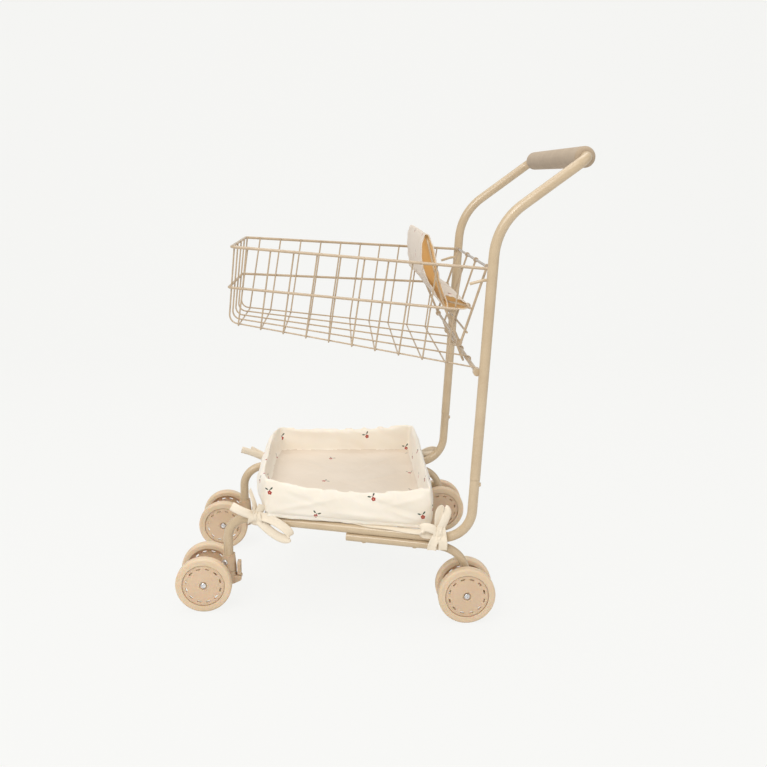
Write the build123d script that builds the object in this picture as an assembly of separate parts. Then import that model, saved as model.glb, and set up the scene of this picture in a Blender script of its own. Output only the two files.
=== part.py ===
from build123d import *
import math
import os

# Toy shopping cart.  Millimetres, +Z up, origin on the floor at the middle of the outline.
# The shopper walks on the +X side, so -X is the front, -Y the left and +Y the right.

os.makedirs("parts", exist_ok=True)

# ---- fits ------------------------------------------------------------------------------------
WELD_GAP = 0.02        # air between pieces that are welded, clamped or seated on one another
RUN_GAP = 0.05         # radial play of every turning or sliding fit
PASS_GAP = 0.35        # air between faces of pieces that move past each other

# ---- frame tubes -----------------------------------------------------------------------------
TUBE_D = 11.5          # lower frame tube
TUBE_WALL = 1.0
HANDLE_D = 12.0        # upper handle tube
STEM_X = -181.0        # vertical front leg, over the caster
STEM_HALF = 106.2      # half distance between the two stems
STEM_FOOT_Z = 47.0     # bottom of the tube inside the caster collar
RAIL_FRONT_Z = 111.5   # rail height at the front corner
HEEL_X = 109.0         # corner where the rail turns up into the upright
HEEL_Z = 99.3
UPRIGHT_HALF = 167.2   # half distance between the uprights
UPRIGHT_LEAN = 0.0595  # upright shift in X per mm of height
FRONT_BEND = 27.0
HEEL_BEND = 37.0
JOINT_Z = 174.0        # where the handle tube meets the lower tube
JOINT_SPLIT = 0.3      # visible joint line
NECK_Z = 467.8         # corner where the handle leans back
NECK_BEND = 75.0
TOP_X = 231.0          # handle cross bar
TOP_Z = 541.0
TOP_BEND = 14.0

GRIP_D = 24.0
GRIP_HALF = UPRIGHT_HALF - 16.2
GRIP_ROUND = 6.0

SPIGOT_REACH = 26.0    # length of the inner spigot each way from the joint
BUTTON_Z = 167.8
BUTTON_D = 5.2
BUTTON_PROUD = 1.7
BUTTON_TRAVEL = 2.5

# ---- rear legs -------------------------------------------------------------------------------
LEG_D = 10.0
LEG_FRONT_X = -36.0
LEG_CORNER_X = 94.0
LEG_BEND = 32.0
ANKLE_Z = 62.0         # below this the leg is upright
ANKLE_BEND = 12.0
LEG_FOOT = 6.5         # tube past the axle
AXLE_X = 105.7
WHEEL_R = 34.0
REAR_TWIN_Y = UPRIGHT_HALF - 10.0      # middle of the rear pair of wheels
REAR_TWIN_HALF = 23.3  # half the overall width of the rear pair
RIVET_D = 4.0
RIVET_HEAD_D = 5.6
RIVET_HEAD_T = 1.2       # of which RIVET_SUNK lies in a flat on the leg
RIVET_SUNK = 0.6
RIVET_X = (-15.0, 45.0)
BAR_D = 8.0
BAR_X = (-100.0, 30.0)

# ---- wheels ----------------------------------------------------------------------------------
WHEEL_W = 12.6
TYRE_IN = 25.9         # inner radius of the smooth tyre band
GROOVE_W = 0.8
GROOVE_DEEP = 0.8
DISC_EDGE = 1.3        # face of the disc below the tyre band, at its rim
DISC_HUB = 0.5         # the same next to the hub
DISC_T = 3.0
RIM_BACK_R = 27.5
HUB_R = 7.0
RECESS_R = 5.0
RECESS_DEEP = 2.0
AXLE_D = 4.0
SLOT_R = 21.0
SLOT_L = 5.5
SLOT_W = 2.0
SLOT_N = 12
SHOULDER = 3.2
SCREW_HEAD_D = 7.0
SCREW_HEAD_T = 2.0
SCREW_DOME = 0.7         # rounded share of the head
SCREW_CROSS = (0.5, 0.9, 1.2)   # cross recess: length over head, width, depth
SCREW_SHANK_D = 2.4
SCREW_SHANK_L = 6.0

# ---- front casters ---------------------------------------------------------------------------
TRAIL = 28.0           # axle ahead of the stem
FRONT_TWIN_HALF = 32.45
COLLAR_TOP_R = 7.9
COLLAR_LOW_R = 9.3
COLLAR_LOW_Z = 42.25
COLLAR_TOP_Z = 61.5
COLLAR_TILT = 12.0     # slope of the collar mouth, high at the back
FORK_TOP_Z = COLLAR_LOW_Z - PASS_GAP
FORK_LOW_Z = 26.0
FORK_EYE_R = 8.0
FORK_HALF = 7.0
BARREL_R = 5.6
PIVOT_D = 6.0
PIVOT_HEAD_D = 11.0
PIVOT_HEAD_T = 2.0
COLLAR_SCREW_Z = 54.0
COLLAR_SCREW_TURN = 27.0   # degrees from straight out sideways, turned to the front
COLLAR_SCREW_D = 6.6
COLLAR_SCREW_FLAT = 8.2    # seat of the screw head, from the stem axis
COLLAR_SCREW_T = 2.0
LEVER_GAP = 0.5            # air between the lever and the screw head as the fork swivels
LEVER_PIVOT_X = 12.2       # from the stem axis
LEVER_PIVOT_Z = 32.5
LEVER_IN = COLLAR_SCREW_FLAT + COLLAR_SCREW_T + LEVER_GAP
LEVER_T = 4.0
LEVER_HALF = 7.0
LEVER_TOP_Z = 53.0
LEVER_LOW_Z = 36.6
LEVER_PIN_D = 2.4
EAR_R = 3.5
EAR_IN = 4.2

# ---- basket ----------------------------------------------------------------------------------
RIM_D = 3.5
MID_D = 3.2
GRID_D = 1.9           # the thin basket wires
RIM_FRONT_X = -169.5
RIM_FRONT_HALF = 93.0
RIM_FRONT_Z = 437.2
RIM_REAR_HALF = UPRIGHT_HALF - 8.2     # at the top rod
RIM_SLOPE = -0.0667
RIM_CORNER = 7.0
MID_FRONT_Z = 388.8
MID_REAR_X = 84.0
U_COUNT = 10
U_TOP_X = -150.8       # first U wire at the rim
U_TOP_PITCH = 27.3
U_LOW_X = -165.0       # first U wire at the floor
U_LOW_PITCH = 27.2
U_BEND = 4.0
FLOOR_FRONT_X = -176.5
FLOOR_FRONT_Z = 345.8
FLOOR_FRONT_HALF = 73.3
FLOOR_REAR_HALF = UPRIGHT_HALF - 16.2  # at the cross rod
FRONT_FLARE = 1.15     # front wires: half width at the rim over that at the floor
FLOOR_BEND = 10.0
L_COUNT = 5
HOOK_DROP = 6.5

ROD_D = 5.0
TOP_ROD_D = 3.2
CROSS_X = 113.5
CROSS_Z = 300.0
TOP_ROD_X = 125.5
TOP_ROD_Z = 418.4
LUG_R = 4.4
LUG_IN = UPRIGHT_HALF - 12.6
LUG_OUT = UPRIGHT_HALF - 3.2
RIM_SPREAD = (RIM_REAR_HALF - RIM_FRONT_HALF) / (TOP_ROD_X - RIM_FRONT_X)
FLOOR_SPREAD = (FLOOR_REAR_HALF - FLOOR_FRONT_HALF) / (CROSS_X - FLOOR_FRONT_X)
ARM_Z = 406.0
ARM_REACH = 24.0       # from the upright to the tip of the stop arm
ARM_KNEE = 10.0
ARM_DROP = 5.0
ARM_TUCK = 3.0         # the tip turns in by this much
ARM_BEND = 12.0

# ---- rear gate -------------------------------------------------------------------------------
GATE_LOW_X = 96.6
GATE_LOW_Z = 329.5
GATE_HALF = UPRIGHT_HALF - 28.2
GATE_INNER = 42.0
GATE_SIDE_D = 3.0
GATE_INNER_D = 2.5
GATE_LOW_D = 3.5
GATE_MID_Z = 343.5
GATE_SEAT_Z = 370.0
GATE_SEAT_D = 3.0
EYELET_R = 3.0
EYELET_L = 5.0
FOOT_Y = 61.5
FOOT_HALF = 6.0
FOOT_Z = 296.5
FOOT_D = 2.5

# ---- doll seat -------------------------------------------------------------------------------
SEAT_WIRE_D = 3.0
CLOTH_T = 1.2
BACK_HALF = GATE_HALF - 12.5
BACK_CLOTH_HALF = BACK_HALF + 3.5
BACK_EYE_R = 3.5
BASE_HALF = GATE_HALF - 20.5
BASE_CLOTH_HALF = BASE_HALF + 3.5
BASE_EYE_R = 3.3
EYE_L = 5.0
BASE_FRONT_X = 81.5
BASE_FRONT_Z = 376.5
SLIT_DEPTH = 12.0      # slits in a sleeve where its wires come out
SLIT_HEIGHT = 9.0

# ---- lower tray ------------------------------------------------------------------------------
TRAY_FRONT_X = -133.0
TRAY_REAR_X = 67.4
TRAY_FRONT_OVER = 14.1     # the top edge stands this far outside the rail, at the front
TRAY_REAR_OVER = 1.5
TRAY_FRONT_TOP = 166.5     # height of the top corners
TRAY_REAR_TOP = 163.0
TRAY_SAG = 7.0             # dip of the long walls between the corners
TRAY_FRONT_BOW = 8.0       # the front wall leans out this far at its middle
TRAY_REAR_BOW = 3.5
TRAY_LOW_INSET = 4.0
TRAY_WALL = 9.0
TRAY_CORNER = 11.0
BOARD_T = 3.0
PAD_T = 9.0
UNDER_CLOTH = 0.6          # cloth between the board and the rails

# ---- ribbon ties -----------------------------------------------------------------------------
RIBBON_W = 10.5
RIBBON_T = 1.4
KNOT_SIZE = (14.0, 8.0)    # length along the cart and depth of a knot
KNOT_OUT = 2.2             # the knot's middle stands this far outside the rail
TIE_FRONT_X = -146.0
TIE_FRONT_LIFT = 6.2      # knot above the rail's axis
TIE_FRONT_KNOT = 17.0      # height of the knot
TIE_REAR_X = 73.0
TIE_REAR_LIFT = 9.3
TIE_REAR_KNOT = 19.5


# ---- helpers ---------------------------------------------------------------------------------
def drawn_in(outline, depth):
    """Closed outline moved inwards by depth, point by point, along the normal to its neighbours."""
    area = sum(a[0] * b[1] - b[0] * a[1] for a, b in zip(outline, outline[1:] + outline[:1]))
    turn = 1 if area > 0 else -1
    moved = []
    for before, point, after in zip(outline[-1:] + outline[:-1], outline, outline[1:] + outline[:1]):
        dx = after[0] - before[0]
        dy = after[1] - before[1]
        length = math.hypot(dx, dy)
        moved.append((point[0] - turn * depth * dy / length, point[1] + turn * depth * dx / length))
    return moved


def closed_sleeve(outline, thickness, half):
    """Sleeve with the smooth closed outline, run half each way along its own axis."""
    outer = make_face(Spline(*outline, periodic=True))
    inner = make_face(Spline(*drawn_in(outline, thickness), periodic=True))
    return extrude(outer, amount=half, both=True) - extrude(inner, amount=2 * half, both=True)


def bent_path(points, radii):
    """Straight runs through the points, joined by tangent arcs of the given corner radii."""
    pts = [Vector(*p) for p in points]
    edges = []
    start = pts[0]
    for before, corner, after, radius in zip(pts[:-2], pts[1:-1], pts[2:], radii):
        back = (before - corner).normalized()
        ahead = (after - corner).normalized()
        half_angle = math.radians(back.get_angle(ahead)) / 2
        reach = radius / math.tan(half_angle)
        middle = radius / math.sin(half_angle) - radius
        arc_start = corner + back * reach
        arc_end = corner + ahead * reach
        arc_middle = corner + (back + ahead).normalized() * middle
        edges.append(Edge.make_line(start, arc_start))
        edges.append(Edge.make_three_point_arc(arc_start, arc_middle, arc_end))
        start = arc_end
    edges.append(Edge.make_line(start, pts[-1]))
    return Wire(edges)


def round_bar(points, radii, diameter):
    """Solid round wire or bar along a bent path."""
    path = bent_path(points, radii)
    section = Plane(origin=path @ 0, z_dir=path % 0) * Circle(diameter / 2)
    return sweep(section, path=path)


def round_tube(points, radii, diameter, wall):
    """Hollow tube along a bent path."""
    return round_bar(points, radii, diameter) - round_bar(points, radii, diameter - 2 * wall)


def bar(a, b, diameter):
    """Straight round bar from a to b."""
    return round_bar([a, b], [], diameter)


def other_side(shape):
    """Mirror image on the other side of the cart."""
    return mirror(shape, about=Plane.XZ)


def biggest(shape):
    """The largest solid of a shape."""
    return max(shape.solids(), key=lambda s: s.volume)


def save(name, *shapes):
    """Write one node: every solid of the given shapes."""
    solids = [s for shape in shapes for s in shape.solids()]
    export_step(solids[0] if len(solids) == 1 else Compound(children=solids), f"parts/{name}.step")


def upright_x(z):
    return HEEL_X + UPRIGHT_LEAN * (z - HEEL_Z)


def rail_half(x):
    return STEM_HALF + (UPRIGHT_HALF - STEM_HALF) * (x - STEM_X) / (HEEL_X - STEM_X)


def rail_z(x):
    return RAIL_FRONT_Z + (HEEL_Z - RAIL_FRONT_Z) * (x - STEM_X) / (HEEL_X - STEM_X)


def domed_head(diameter, height, shank_d, shank_l):
    """Screw standing on z = 0: domed head above, shank below."""
    head = Cylinder(diameter / 2, height, align=(Align.CENTER, Align.CENTER, Align.MIN))
    head = fillet(head.edges().group_by(Axis.Z)[-1], height * SCREW_DOME)
    shank = Cylinder(shank_d / 2, shank_l, align=(Align.CENTER, Align.CENTER, Align.MAX))
    length, width, depth = SCREW_CROSS
    recess = Box(diameter * length, width, depth) + Box(width, diameter * length, depth)
    return head + shank - Pos(0, 0, height) * recess


# ---- lower frame tubes -----------------------------------------------------------------------
frame_points = [
    (STEM_X, -STEM_HALF, STEM_FOOT_Z),
    (STEM_X, -STEM_HALF, RAIL_FRONT_Z),
    (HEEL_X, -UPRIGHT_HALF, HEEL_Z),
    (upright_x(JOINT_Z - JOINT_SPLIT), -UPRIGHT_HALF, JOINT_Z - JOINT_SPLIT),
]
frame_bends = [FRONT_BEND, HEEL_BEND]
frame_tube = round_tube(frame_points, frame_bends, TUBE_D, TUBE_WALL)
frame_keepout = round_bar(frame_points, frame_bends, TUBE_D + 2 * WELD_GAP)

# ---- handle ----------------------------------------------------------------------------------
handle_side = [
    (upright_x(JOINT_Z), UPRIGHT_HALF, JOINT_Z),
    (upright_x(NECK_Z), UPRIGHT_HALF, NECK_Z),
    (TOP_X, UPRIGHT_HALF, TOP_Z),
]
handle_points = [(x, -y, z) for x, y, z in handle_side] + handle_side[::-1]
handle_bends = [NECK_BEND, TOP_BEND, TOP_BEND, NECK_BEND]
handle = round_tube(handle_points, handle_bends, HANDLE_D, TUBE_WALL)
handle_keepout = round_bar(handle_points, handle_bends, HANDLE_D + 2 * WELD_GAP)
rod_hole = Pos(TOP_ROD_X, 0, TOP_ROD_Z) * Rot(90, 0, 0) * Cylinder(TOP_ROD_D / 2 + WELD_GAP, 2 * UPRIGHT_HALF)
save("push_handle", handle - rod_hole)

grip = Cylinder(GRIP_D / 2, 2 * GRIP_HALF)
grip = fillet(grip.edges().filter_by(GeomType.CIRCLE), GRIP_ROUND)
grip = grip - Cylinder(HANDLE_D / 2 + WELD_GAP, 3 * GRIP_HALF)
save("handle_grip", Pos(TOP_X, 0, TOP_Z) * Rot(90, 0, 0) * grip)

# ---- joint spigots and snap buttons ----------------------------------------------------------
lean = Vector(UPRIGHT_LEAN, 0, 1).normalized()
joint_centre = Vector(upright_x(JOINT_Z), -UPRIGHT_HALF, JOINT_Z)
lower_bore = TUBE_D - 2 * TUBE_WALL - 2 * WELD_GAP
upper_bore = HANDLE_D - 2 * TUBE_WALL - 2 * WELD_GAP
spigot = bar(joint_centre - lean * SPIGOT_REACH, joint_centre, lower_bore)
spigot = spigot + bar(joint_centre, joint_centre + lean * SPIGOT_REACH, upper_bore)
button_centre = Vector(upright_x(BUTTON_Z), -UPRIGHT_HALF, BUTTON_Z)
button_out = Vector(TUBE_D / 2 + BUTTON_PROUD, 0, 0)
button_in = Vector(BUTTON_TRAVEL + 0.6, 0, 0)
button_hole = bar(button_centre - button_in, button_centre + button_out, BUTTON_D + 2 * RUN_GAP)
button = bar(button_centre, button_centre + button_out, BUTTON_D)
button = fillet(button.edges().group_by(Axis.X)[-1], BUTTON_PROUD * 0.8)
spigot = spigot - button_hole
frame_tube = frame_tube - button_hole
save("joint_spigots", spigot, other_side(spigot))
save("snap_button_left", button)
save("snap_button_right", other_side(button))

# ---- rear legs, rivets and cross bars --------------------------------------------------------
leg_drop = TUBE_D / 2 + LEG_D / 2 + WELD_GAP
leg_points = [
    (LEG_FRONT_X, -rail_half(LEG_FRONT_X), rail_z(LEG_FRONT_X) - leg_drop),
    (LEG_CORNER_X, -rail_half(LEG_CORNER_X), rail_z(LEG_CORNER_X) - leg_drop),
    (AXLE_X, -REAR_TWIN_Y, ANKLE_Z),
    (AXLE_X, -REAR_TWIN_Y, WHEEL_R - LEG_FOOT),
]
leg_bends = [LEG_BEND, ANKLE_BEND]
leg = round_tube(leg_points, leg_bends, LEG_D, TUBE_WALL)
leg_keepout = round_bar(leg_points, leg_bends, LEG_D + 2 * WELD_GAP)
rivets = []
for x in RIVET_X:
    top = Vector(x, -rail_half(x), rail_z(x) + TUBE_D / 2 - TUBE_WALL / 2)
    foot = Vector(x, -rail_half(x), rail_z(x) - leg_drop - LEG_D / 2)
    up = Vector(0, 0, 1)
    shank = bar(foot, top, RIVET_D)
    hole = bar(foot - up * RIVET_HEAD_T, top + up * TUBE_WALL, RIVET_D + 2 * WELD_GAP)
    seat = bar(foot - up * RIVET_HEAD_T, foot + up * RIVET_SUNK, RIVET_HEAD_D + 2 * WELD_GAP)
    head_top = foot + up * (RIVET_SUNK - WELD_GAP)
    head = bar(head_top, head_top - up * RIVET_HEAD_T, RIVET_HEAD_D)
    head = fillet(head.edges().group_by(Axis.Z)[0], RIVET_HEAD_T * 0.55)
    frame_tube = frame_tube - hole
    leg = leg - hole - seat
    rivets.append(shank + head)
axle_centre = Vector(AXLE_X, -REAR_TWIN_Y, WHEEL_R)
axle_hole = bar(axle_centre - Vector(0, LEG_D, 0), axle_centre + Vector(0, LEG_D, 0), AXLE_D + 2 * WELD_GAP)
leg = biggest(leg - axle_hole)
save("rear_leg_left", leg)
save("rear_leg_right", other_side(leg))
save("leg_rivets", *rivets, *[other_side(r) for r in rivets])

bars = []
for x in BAR_X:
    across = bar((x, -rail_half(x), rail_z(x)), (x, rail_half(x), rail_z(x)), BAR_D)
    bars.append(biggest(across - frame_keepout - other_side(frame_keepout)))
save("cross_bars", *bars)


# ---- wheels, axles and screws ----------------------------------------------------------------
def wheel_body(hub_end):
    """Moulded wheel: outer face on z = 0 looking up, hub tube running down to -hub_end."""
    bore = AXLE_D / 2 + RUN_GAP
    profile = [
        (bore, -RECESS_DEEP),
        (RECESS_R, -RECESS_DEEP),
        (RECESS_R, -DISC_HUB),
        (TYRE_IN - GROOVE_W, -DISC_EDGE),
        (TYRE_IN - GROOVE_W, -DISC_EDGE - GROOVE_DEEP),
        (TYRE_IN, -DISC_EDGE - GROOVE_DEEP),
        (TYRE_IN, 0),
        (WHEEL_R, 0),
        (WHEEL_R, -WHEEL_W),
        (RIM_BACK_R, -WHEEL_W),
        (RIM_BACK_R - 0.5, -DISC_EDGE - GROOVE_DEEP - 2),
        (HUB_R, -DISC_HUB - DISC_T - 1),
        (HUB_R, -hub_end),
        (bore, -hub_end),
    ]
    face = make_face(Polyline(*profile, close=True))
    shoulders = [v for v in face.vertices() if v.X > WHEEL_R - 0.1]
    face = fillet(shoulders, SHOULDER)
    solid = revolve(Plane.XZ * face, axis=Axis.Z)
    slots = []
    for i in range(SLOT_N):
        angle = 360 / SLOT_N * (i + 0.5)
        slots.append(Rot(0, 0, angle) * Pos(0, SLOT_R, 0) * SlotOverall(SLOT_L, SLOT_W))
    cutter = extrude(Sketch() + slots, amount=2 * WHEEL_W, both=True)
    return solid - cutter


HUB_END = REAR_TWIN_HALF - LEG_D / 2 - PASS_GAP
wheel = wheel_body(HUB_END)
screw = domed_head(SCREW_HEAD_D, SCREW_HEAD_T, SCREW_SHANK_D, SCREW_SHANK_L)


def facing(centre, side):
    """Places a z-up piece at centre with its face looking sideways (side -1 is left)."""
    return Plane(origin=centre, x_dir=(1, 0, 0), z_dir=(0, side, 0))


def twin_set(centre, half):
    """Wheels, axle and screws of one pair; half is half the overall width."""
    seat = half - RECESS_DEEP + PASS_GAP
    faces = [facing(centre + Vector(0, side * half, 0), side) for side in (-1, 1)]
    seats = [facing(centre + Vector(0, side * seat, 0), side) for side in (-1, 1)]
    axle = bar(centre - Vector(0, seat, 0), centre + Vector(0, seat, 0), AXLE_D)
    for plane in seats:
        depth = SCREW_SHANK_L + 1
        axle = axle - plane * Cylinder(SCREW_SHANK_D / 2 + WELD_GAP, 2 * depth)
    screws = [plane * Pos(0, 0, WELD_GAP) * screw for plane in seats]
    return [plane * wheel for plane in faces], axle, screws


def shift_other(pieces):
    return [other_side(p) for p in pieces]


rear_wheels, rear_axle, rear_screws = twin_set(axle_centre, REAR_TWIN_HALF)
save("wheel_rear_left_outer", rear_wheels[0])
save("wheel_rear_left_inner", rear_wheels[1])
save("wheel_rear_right_outer", other_side(rear_wheels[0]))
save("wheel_rear_right_inner", other_side(rear_wheels[1]))
save("rear_axles", rear_axle, other_side(rear_axle))
save("rear_axle_screws", *rear_screws, *shift_other(rear_screws))

front_centre = Vector(STEM_X - TRAIL, -STEM_HALF, WHEEL_R)
front_wheels, front_axle, front_screws = twin_set(front_centre, FRONT_TWIN_HALF)
save("wheel_front_left_outer", front_wheels[0])
save("wheel_front_left_inner", front_wheels[1])
save("wheel_front_right_outer", other_side(front_wheels[0]))
save("wheel_front_right_inner", other_side(front_wheels[1]))
save("front_axle_left", front_axle)
save("front_axle_right", other_side(front_axle))
save("front_screws_left", *front_screws)
save("front_screws_right", *shift_other(front_screws))

# ---- caster collar, pivot pin and screw ------------------------------------------------------
stem = Pos(STEM_X, -STEM_HALF, 0)
collar_face = make_face(Polyline(
    (0, COLLAR_LOW_Z),
    (COLLAR_LOW_R, COLLAR_LOW_Z),
    (COLLAR_LOW_R, COLLAR_LOW_Z + 4),
    (COLLAR_TOP_R, COLLAR_TOP_Z),
    (COLLAR_TOP_R, COLLAR_TOP_Z + 4),
    (0, COLLAR_TOP_Z + 4),
    close=True,
))
collar = revolve(Plane.XZ * collar_face, axis=Axis.Z)
mouth = Pos(0, 0, COLLAR_TOP_Z) * Rot(0, -COLLAR_TILT, 0) * Box(
    60, 60, 30, align=(Align.CENTER, Align.CENTER, Align.MIN))
socket = Pos(0, 0, STEM_FOOT_Z - WELD_GAP) * Cylinder(
    TUBE_D / 2 + WELD_GAP, 40, align=(Align.CENTER, Align.CENTER, Align.MIN))
pivot_top = STEM_FOOT_Z - 0.5
pivot_hole = Pos(0, 0, COLLAR_LOW_Z - 1) * Cylinder(
    PIVOT_D / 2 + WELD_GAP, pivot_top - COLLAR_LOW_Z + 1, align=(Align.CENTER, Align.CENTER, Align.MIN))
collar = collar - mouth - socket - pivot_hole
turn = math.radians(COLLAR_SCREW_TURN)
out = Vector(-math.sin(turn), -math.cos(turn), 0)
screw_plane = Plane(origin=Vector(0, 0, COLLAR_SCREW_Z) + out * COLLAR_SCREW_FLAT, x_dir=(0, 0, 1), z_dir=out)
seat_cut = screw_plane * Cylinder(COLLAR_SCREW_D / 2 + 0.2, 6, align=(Align.CENTER, Align.CENTER, Align.MIN))
collar_screw = domed_head(COLLAR_SCREW_D, COLLAR_SCREW_T, 3.0, COLLAR_SCREW_FLAT - 1)
collar_screw_hole = screw_plane * Cylinder(1.5 + WELD_GAP, 2 * COLLAR_SCREW_FLAT)
collar = collar - seat_cut - collar_screw_hole
collar_screw = screw_plane * Pos(0, 0, WELD_GAP) * collar_screw
frame_tube = frame_tube - stem * collar_screw_hole
save("frame_tube_left", frame_tube)
save("frame_tube_right", other_side(frame_tube))
save("caster_collar_left", stem * collar)
save("caster_collar_right", other_side(stem * collar))
save("collar_screws", stem * collar_screw, other_side(stem * collar_screw))

pivot_low = FORK_LOW_Z - PASS_GAP - PIVOT_HEAD_T
pivot = Pos(0, 0, pivot_low) * Cylinder(
    PIVOT_D / 2, pivot_top - 0.5 - pivot_low, align=(Align.CENTER, Align.CENTER, Align.MIN))
pivot_head = Pos(0, 0, pivot_low) * Cylinder(
    PIVOT_HEAD_D / 2, PIVOT_HEAD_T, align=(Align.CENTER, Align.CENTER, Align.MIN))
pivot_head = fillet(pivot_head.edges().group_by(Axis.Z)[0], 1.2)
pivot = stem * (pivot + pivot_head)
save("caster_pivots", pivot, other_side(pivot))

# ---- swivel fork and lock lever --------------------------------------------------------------
boss = Pos(0, 0, FORK_LOW_Z) * Cylinder(
    COLLAR_LOW_R, FORK_TOP_Z - FORK_LOW_Z, align=(Align.CENTER, Align.CENTER, Align.MIN))
eye = (-TRAIL, WHEEL_R)
arm_side = Polygon(
    (0, FORK_LOW_Z), (0, FORK_TOP_Z - 0.3), (-TRAIL, WHEEL_R + FORK_EYE_R), (-TRAIL, WHEEL_R - FORK_EYE_R),
    align=None) + Pos(*eye) * Circle(FORK_EYE_R)
arm = extrude(Plane.XZ * arm_side, amount=FORK_HALF, both=True)
arm = fillet(arm.edges().filter_by(Plane.XZ).filter_by(lambda e: e.center().X < -COLLAR_LOW_R), 1.6)
barrel_half = FRONT_TWIN_HALF - HUB_END - PASS_GAP
barrel = Pos(-TRAIL, 0, WHEEL_R) * Rot(90, 0, 0) * Cylinder(BARREL_R, 2 * barrel_half)
lever_pivot = (LEVER_PIVOT_X, LEVER_PIVOT_Z)
ear_side = Polygon(
    (0, FORK_LOW_Z + 1), (0, LEVER_PIVOT_Z + EAR_R), (LEVER_PIVOT_X, LEVER_PIVOT_Z + EAR_R),
    (LEVER_PIVOT_X + EAR_R * 0.6, LEVER_PIVOT_Z - EAR_R * 0.8), (COLLAR_LOW_R - 2, FORK_LOW_Z + 0.5),
    align=None) + Pos(*lever_pivot) * Circle(EAR_R)
ears = extrude(Plane.XZ * ear_side, amount=LEVER_HALF, both=True)
ear_slot = Pos(COLLAR_LOW_R + 0.4, 0, 0) * Box(
    20, 2 * EAR_IN, 200, align=(Align.MIN, Align.CENTER, Align.CENTER))
pin_axis = Pos(LEVER_PIVOT_X, 0, LEVER_PIVOT_Z) * Rot(90, 0, 0)
fork = boss + arm + barrel + (ears - ear_slot)
fork = fork - Pos(0, 0, 30) * Cylinder(PIVOT_D / 2 + RUN_GAP, 60)
fork = fork - Pos(-TRAIL, 0, WHEEL_R) * Rot(90, 0, 0) * Cylinder(AXLE_D / 2 + WELD_GAP, 80)
fork = fork + pin_axis * Cylinder(LEVER_PIN_D / 2, 2 * LEVER_HALF)
fork = biggest(fork)
save("caster_fork_left", stem * fork)
save("caster_fork_right", other_side(stem * fork))

plate = Pos(LEVER_IN, 0, LEVER_LOW_Z) * Box(
    LEVER_T, 2 * LEVER_HALF, LEVER_TOP_Z - LEVER_LOW_Z, align=(Align.MIN, Align.CENTER, Align.MIN))
plate = fillet(plate.edges().filter_by(Axis.X), 2.0)
plate = fillet(plate.edges().group_by(Axis.X)[-1], 0.9)
foot_half = EAR_IN - PASS_GAP
lever_foot = pin_axis * Cylinder(2.5, 2 * foot_half)
lever_neck = Pos(LEVER_IN, 0, LEVER_PIVOT_Z) * Box(
    LEVER_T, 2 * foot_half, 8, align=(Align.MIN, Align.CENTER, Align.MIN))
lever = plate + lever_foot + lever_neck - pin_axis * Cylinder(LEVER_PIN_D / 2 + RUN_GAP, 40)
save("lock_lever_left", stem * lever)
save("lock_lever_right", other_side(stem * lever))


# ---- basket ----------------------------------------------------------------------------------
def rim_half(x):
    return RIM_FRONT_HALF + RIM_SPREAD * (x - RIM_FRONT_X)


def rim_z(x):
    return RIM_FRONT_Z + RIM_SLOPE * (x - RIM_FRONT_X)


floor_slope = (CROSS_Z + ROD_D / 2 + GRID_D / 2 + WELD_GAP - FLOOR_FRONT_Z) / (CROSS_X - FLOOR_FRONT_X)


def floor_half(x):
    return FLOOR_FRONT_HALF + FLOOR_SPREAD * (x - FLOOR_FRONT_X)


def floor_z(x):
    return FLOOR_FRONT_Z + floor_slope * (x - FLOOR_FRONT_X)


def between(a, b, t):
    return a + (b - a) * t


rim_run = Vector(1, -RIM_SPREAD, RIM_SLOPE).normalized()
u_legs = []
for i in range(U_COUNT):
    top_x = U_TOP_X + U_TOP_PITCH * i
    low_x = U_LOW_X + U_LOW_PITCH * i
    low = Vector(low_x, -floor_half(low_x) - U_BEND - 0.2, floor_z(low_x) - GRID_D - WELD_GAP)
    rim_point = Vector(top_x, -rim_half(top_x), rim_z(top_x))
    aside = rim_run.cross(rim_point - low).normalized()
    aside = aside if aside.Y > 0 else -aside
    top = rim_point + aside * (RIM_D / 2 + GRID_D / 2 + WELD_GAP)
    u_legs.append((low, top + (top - low).normalized() * (RIM_D / 3)))
u_wires = []
for low, top in u_legs:
    points = [top, low, Vector(low.X, -low.Y, low.Z), Vector(top.X, -top.Y, top.Z)]
    u_wires.append(round_bar([tuple(p) for p in points], [U_BEND, U_BEND], GRID_D))
save("basket_u_wires", *u_wires)


def leg_at(leg_ends, z):
    low, top = leg_ends
    return between(low, top, (z - low.Z) / (top.Z - low.Z))


# Front-and-floor wires: down inside the rim, along the floor, hooked over the cross rod.
rim_lean = (RIM_FRONT_X + RIM_D - FLOOR_FRONT_X) / (RIM_FRONT_Z - FLOOR_FRONT_Z)
front_rise = RIM_D / 3
front_top_x = RIM_FRONT_X + ((RIM_D + GRID_D) / 2 + 2 * WELD_GAP) * math.hypot(1, rim_lean)
front_top_x = front_top_x + front_rise * rim_lean
l_wires = []
front_leg_x = []
for j in range(L_COUNT):
    share = 2 * j / (L_COUNT - 1) - 1
    spread = math.hypot(1, FLOOR_SPREAD * share)
    hook_r = (ROD_D + GRID_D) / 2 * spread + WELD_GAP + 0.1
    end_x = CROSS_X + hook_r
    points = [
        (front_top_x, share * FLOOR_FRONT_HALF * FRONT_FLARE, RIM_FRONT_Z + front_rise),
        (FLOOR_FRONT_X, share * FLOOR_FRONT_HALF, FLOOR_FRONT_Z),
        (end_x, share * floor_half(end_x), floor_z(end_x)),
        (end_x, share * floor_half(end_x), floor_z(end_x) - HOOK_DROP),
    ]
    l_wires.append(round_bar(points, [FLOOR_BEND, hook_r * 0.9], GRID_D))
save("basket_l_wires", *l_wires)

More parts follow.
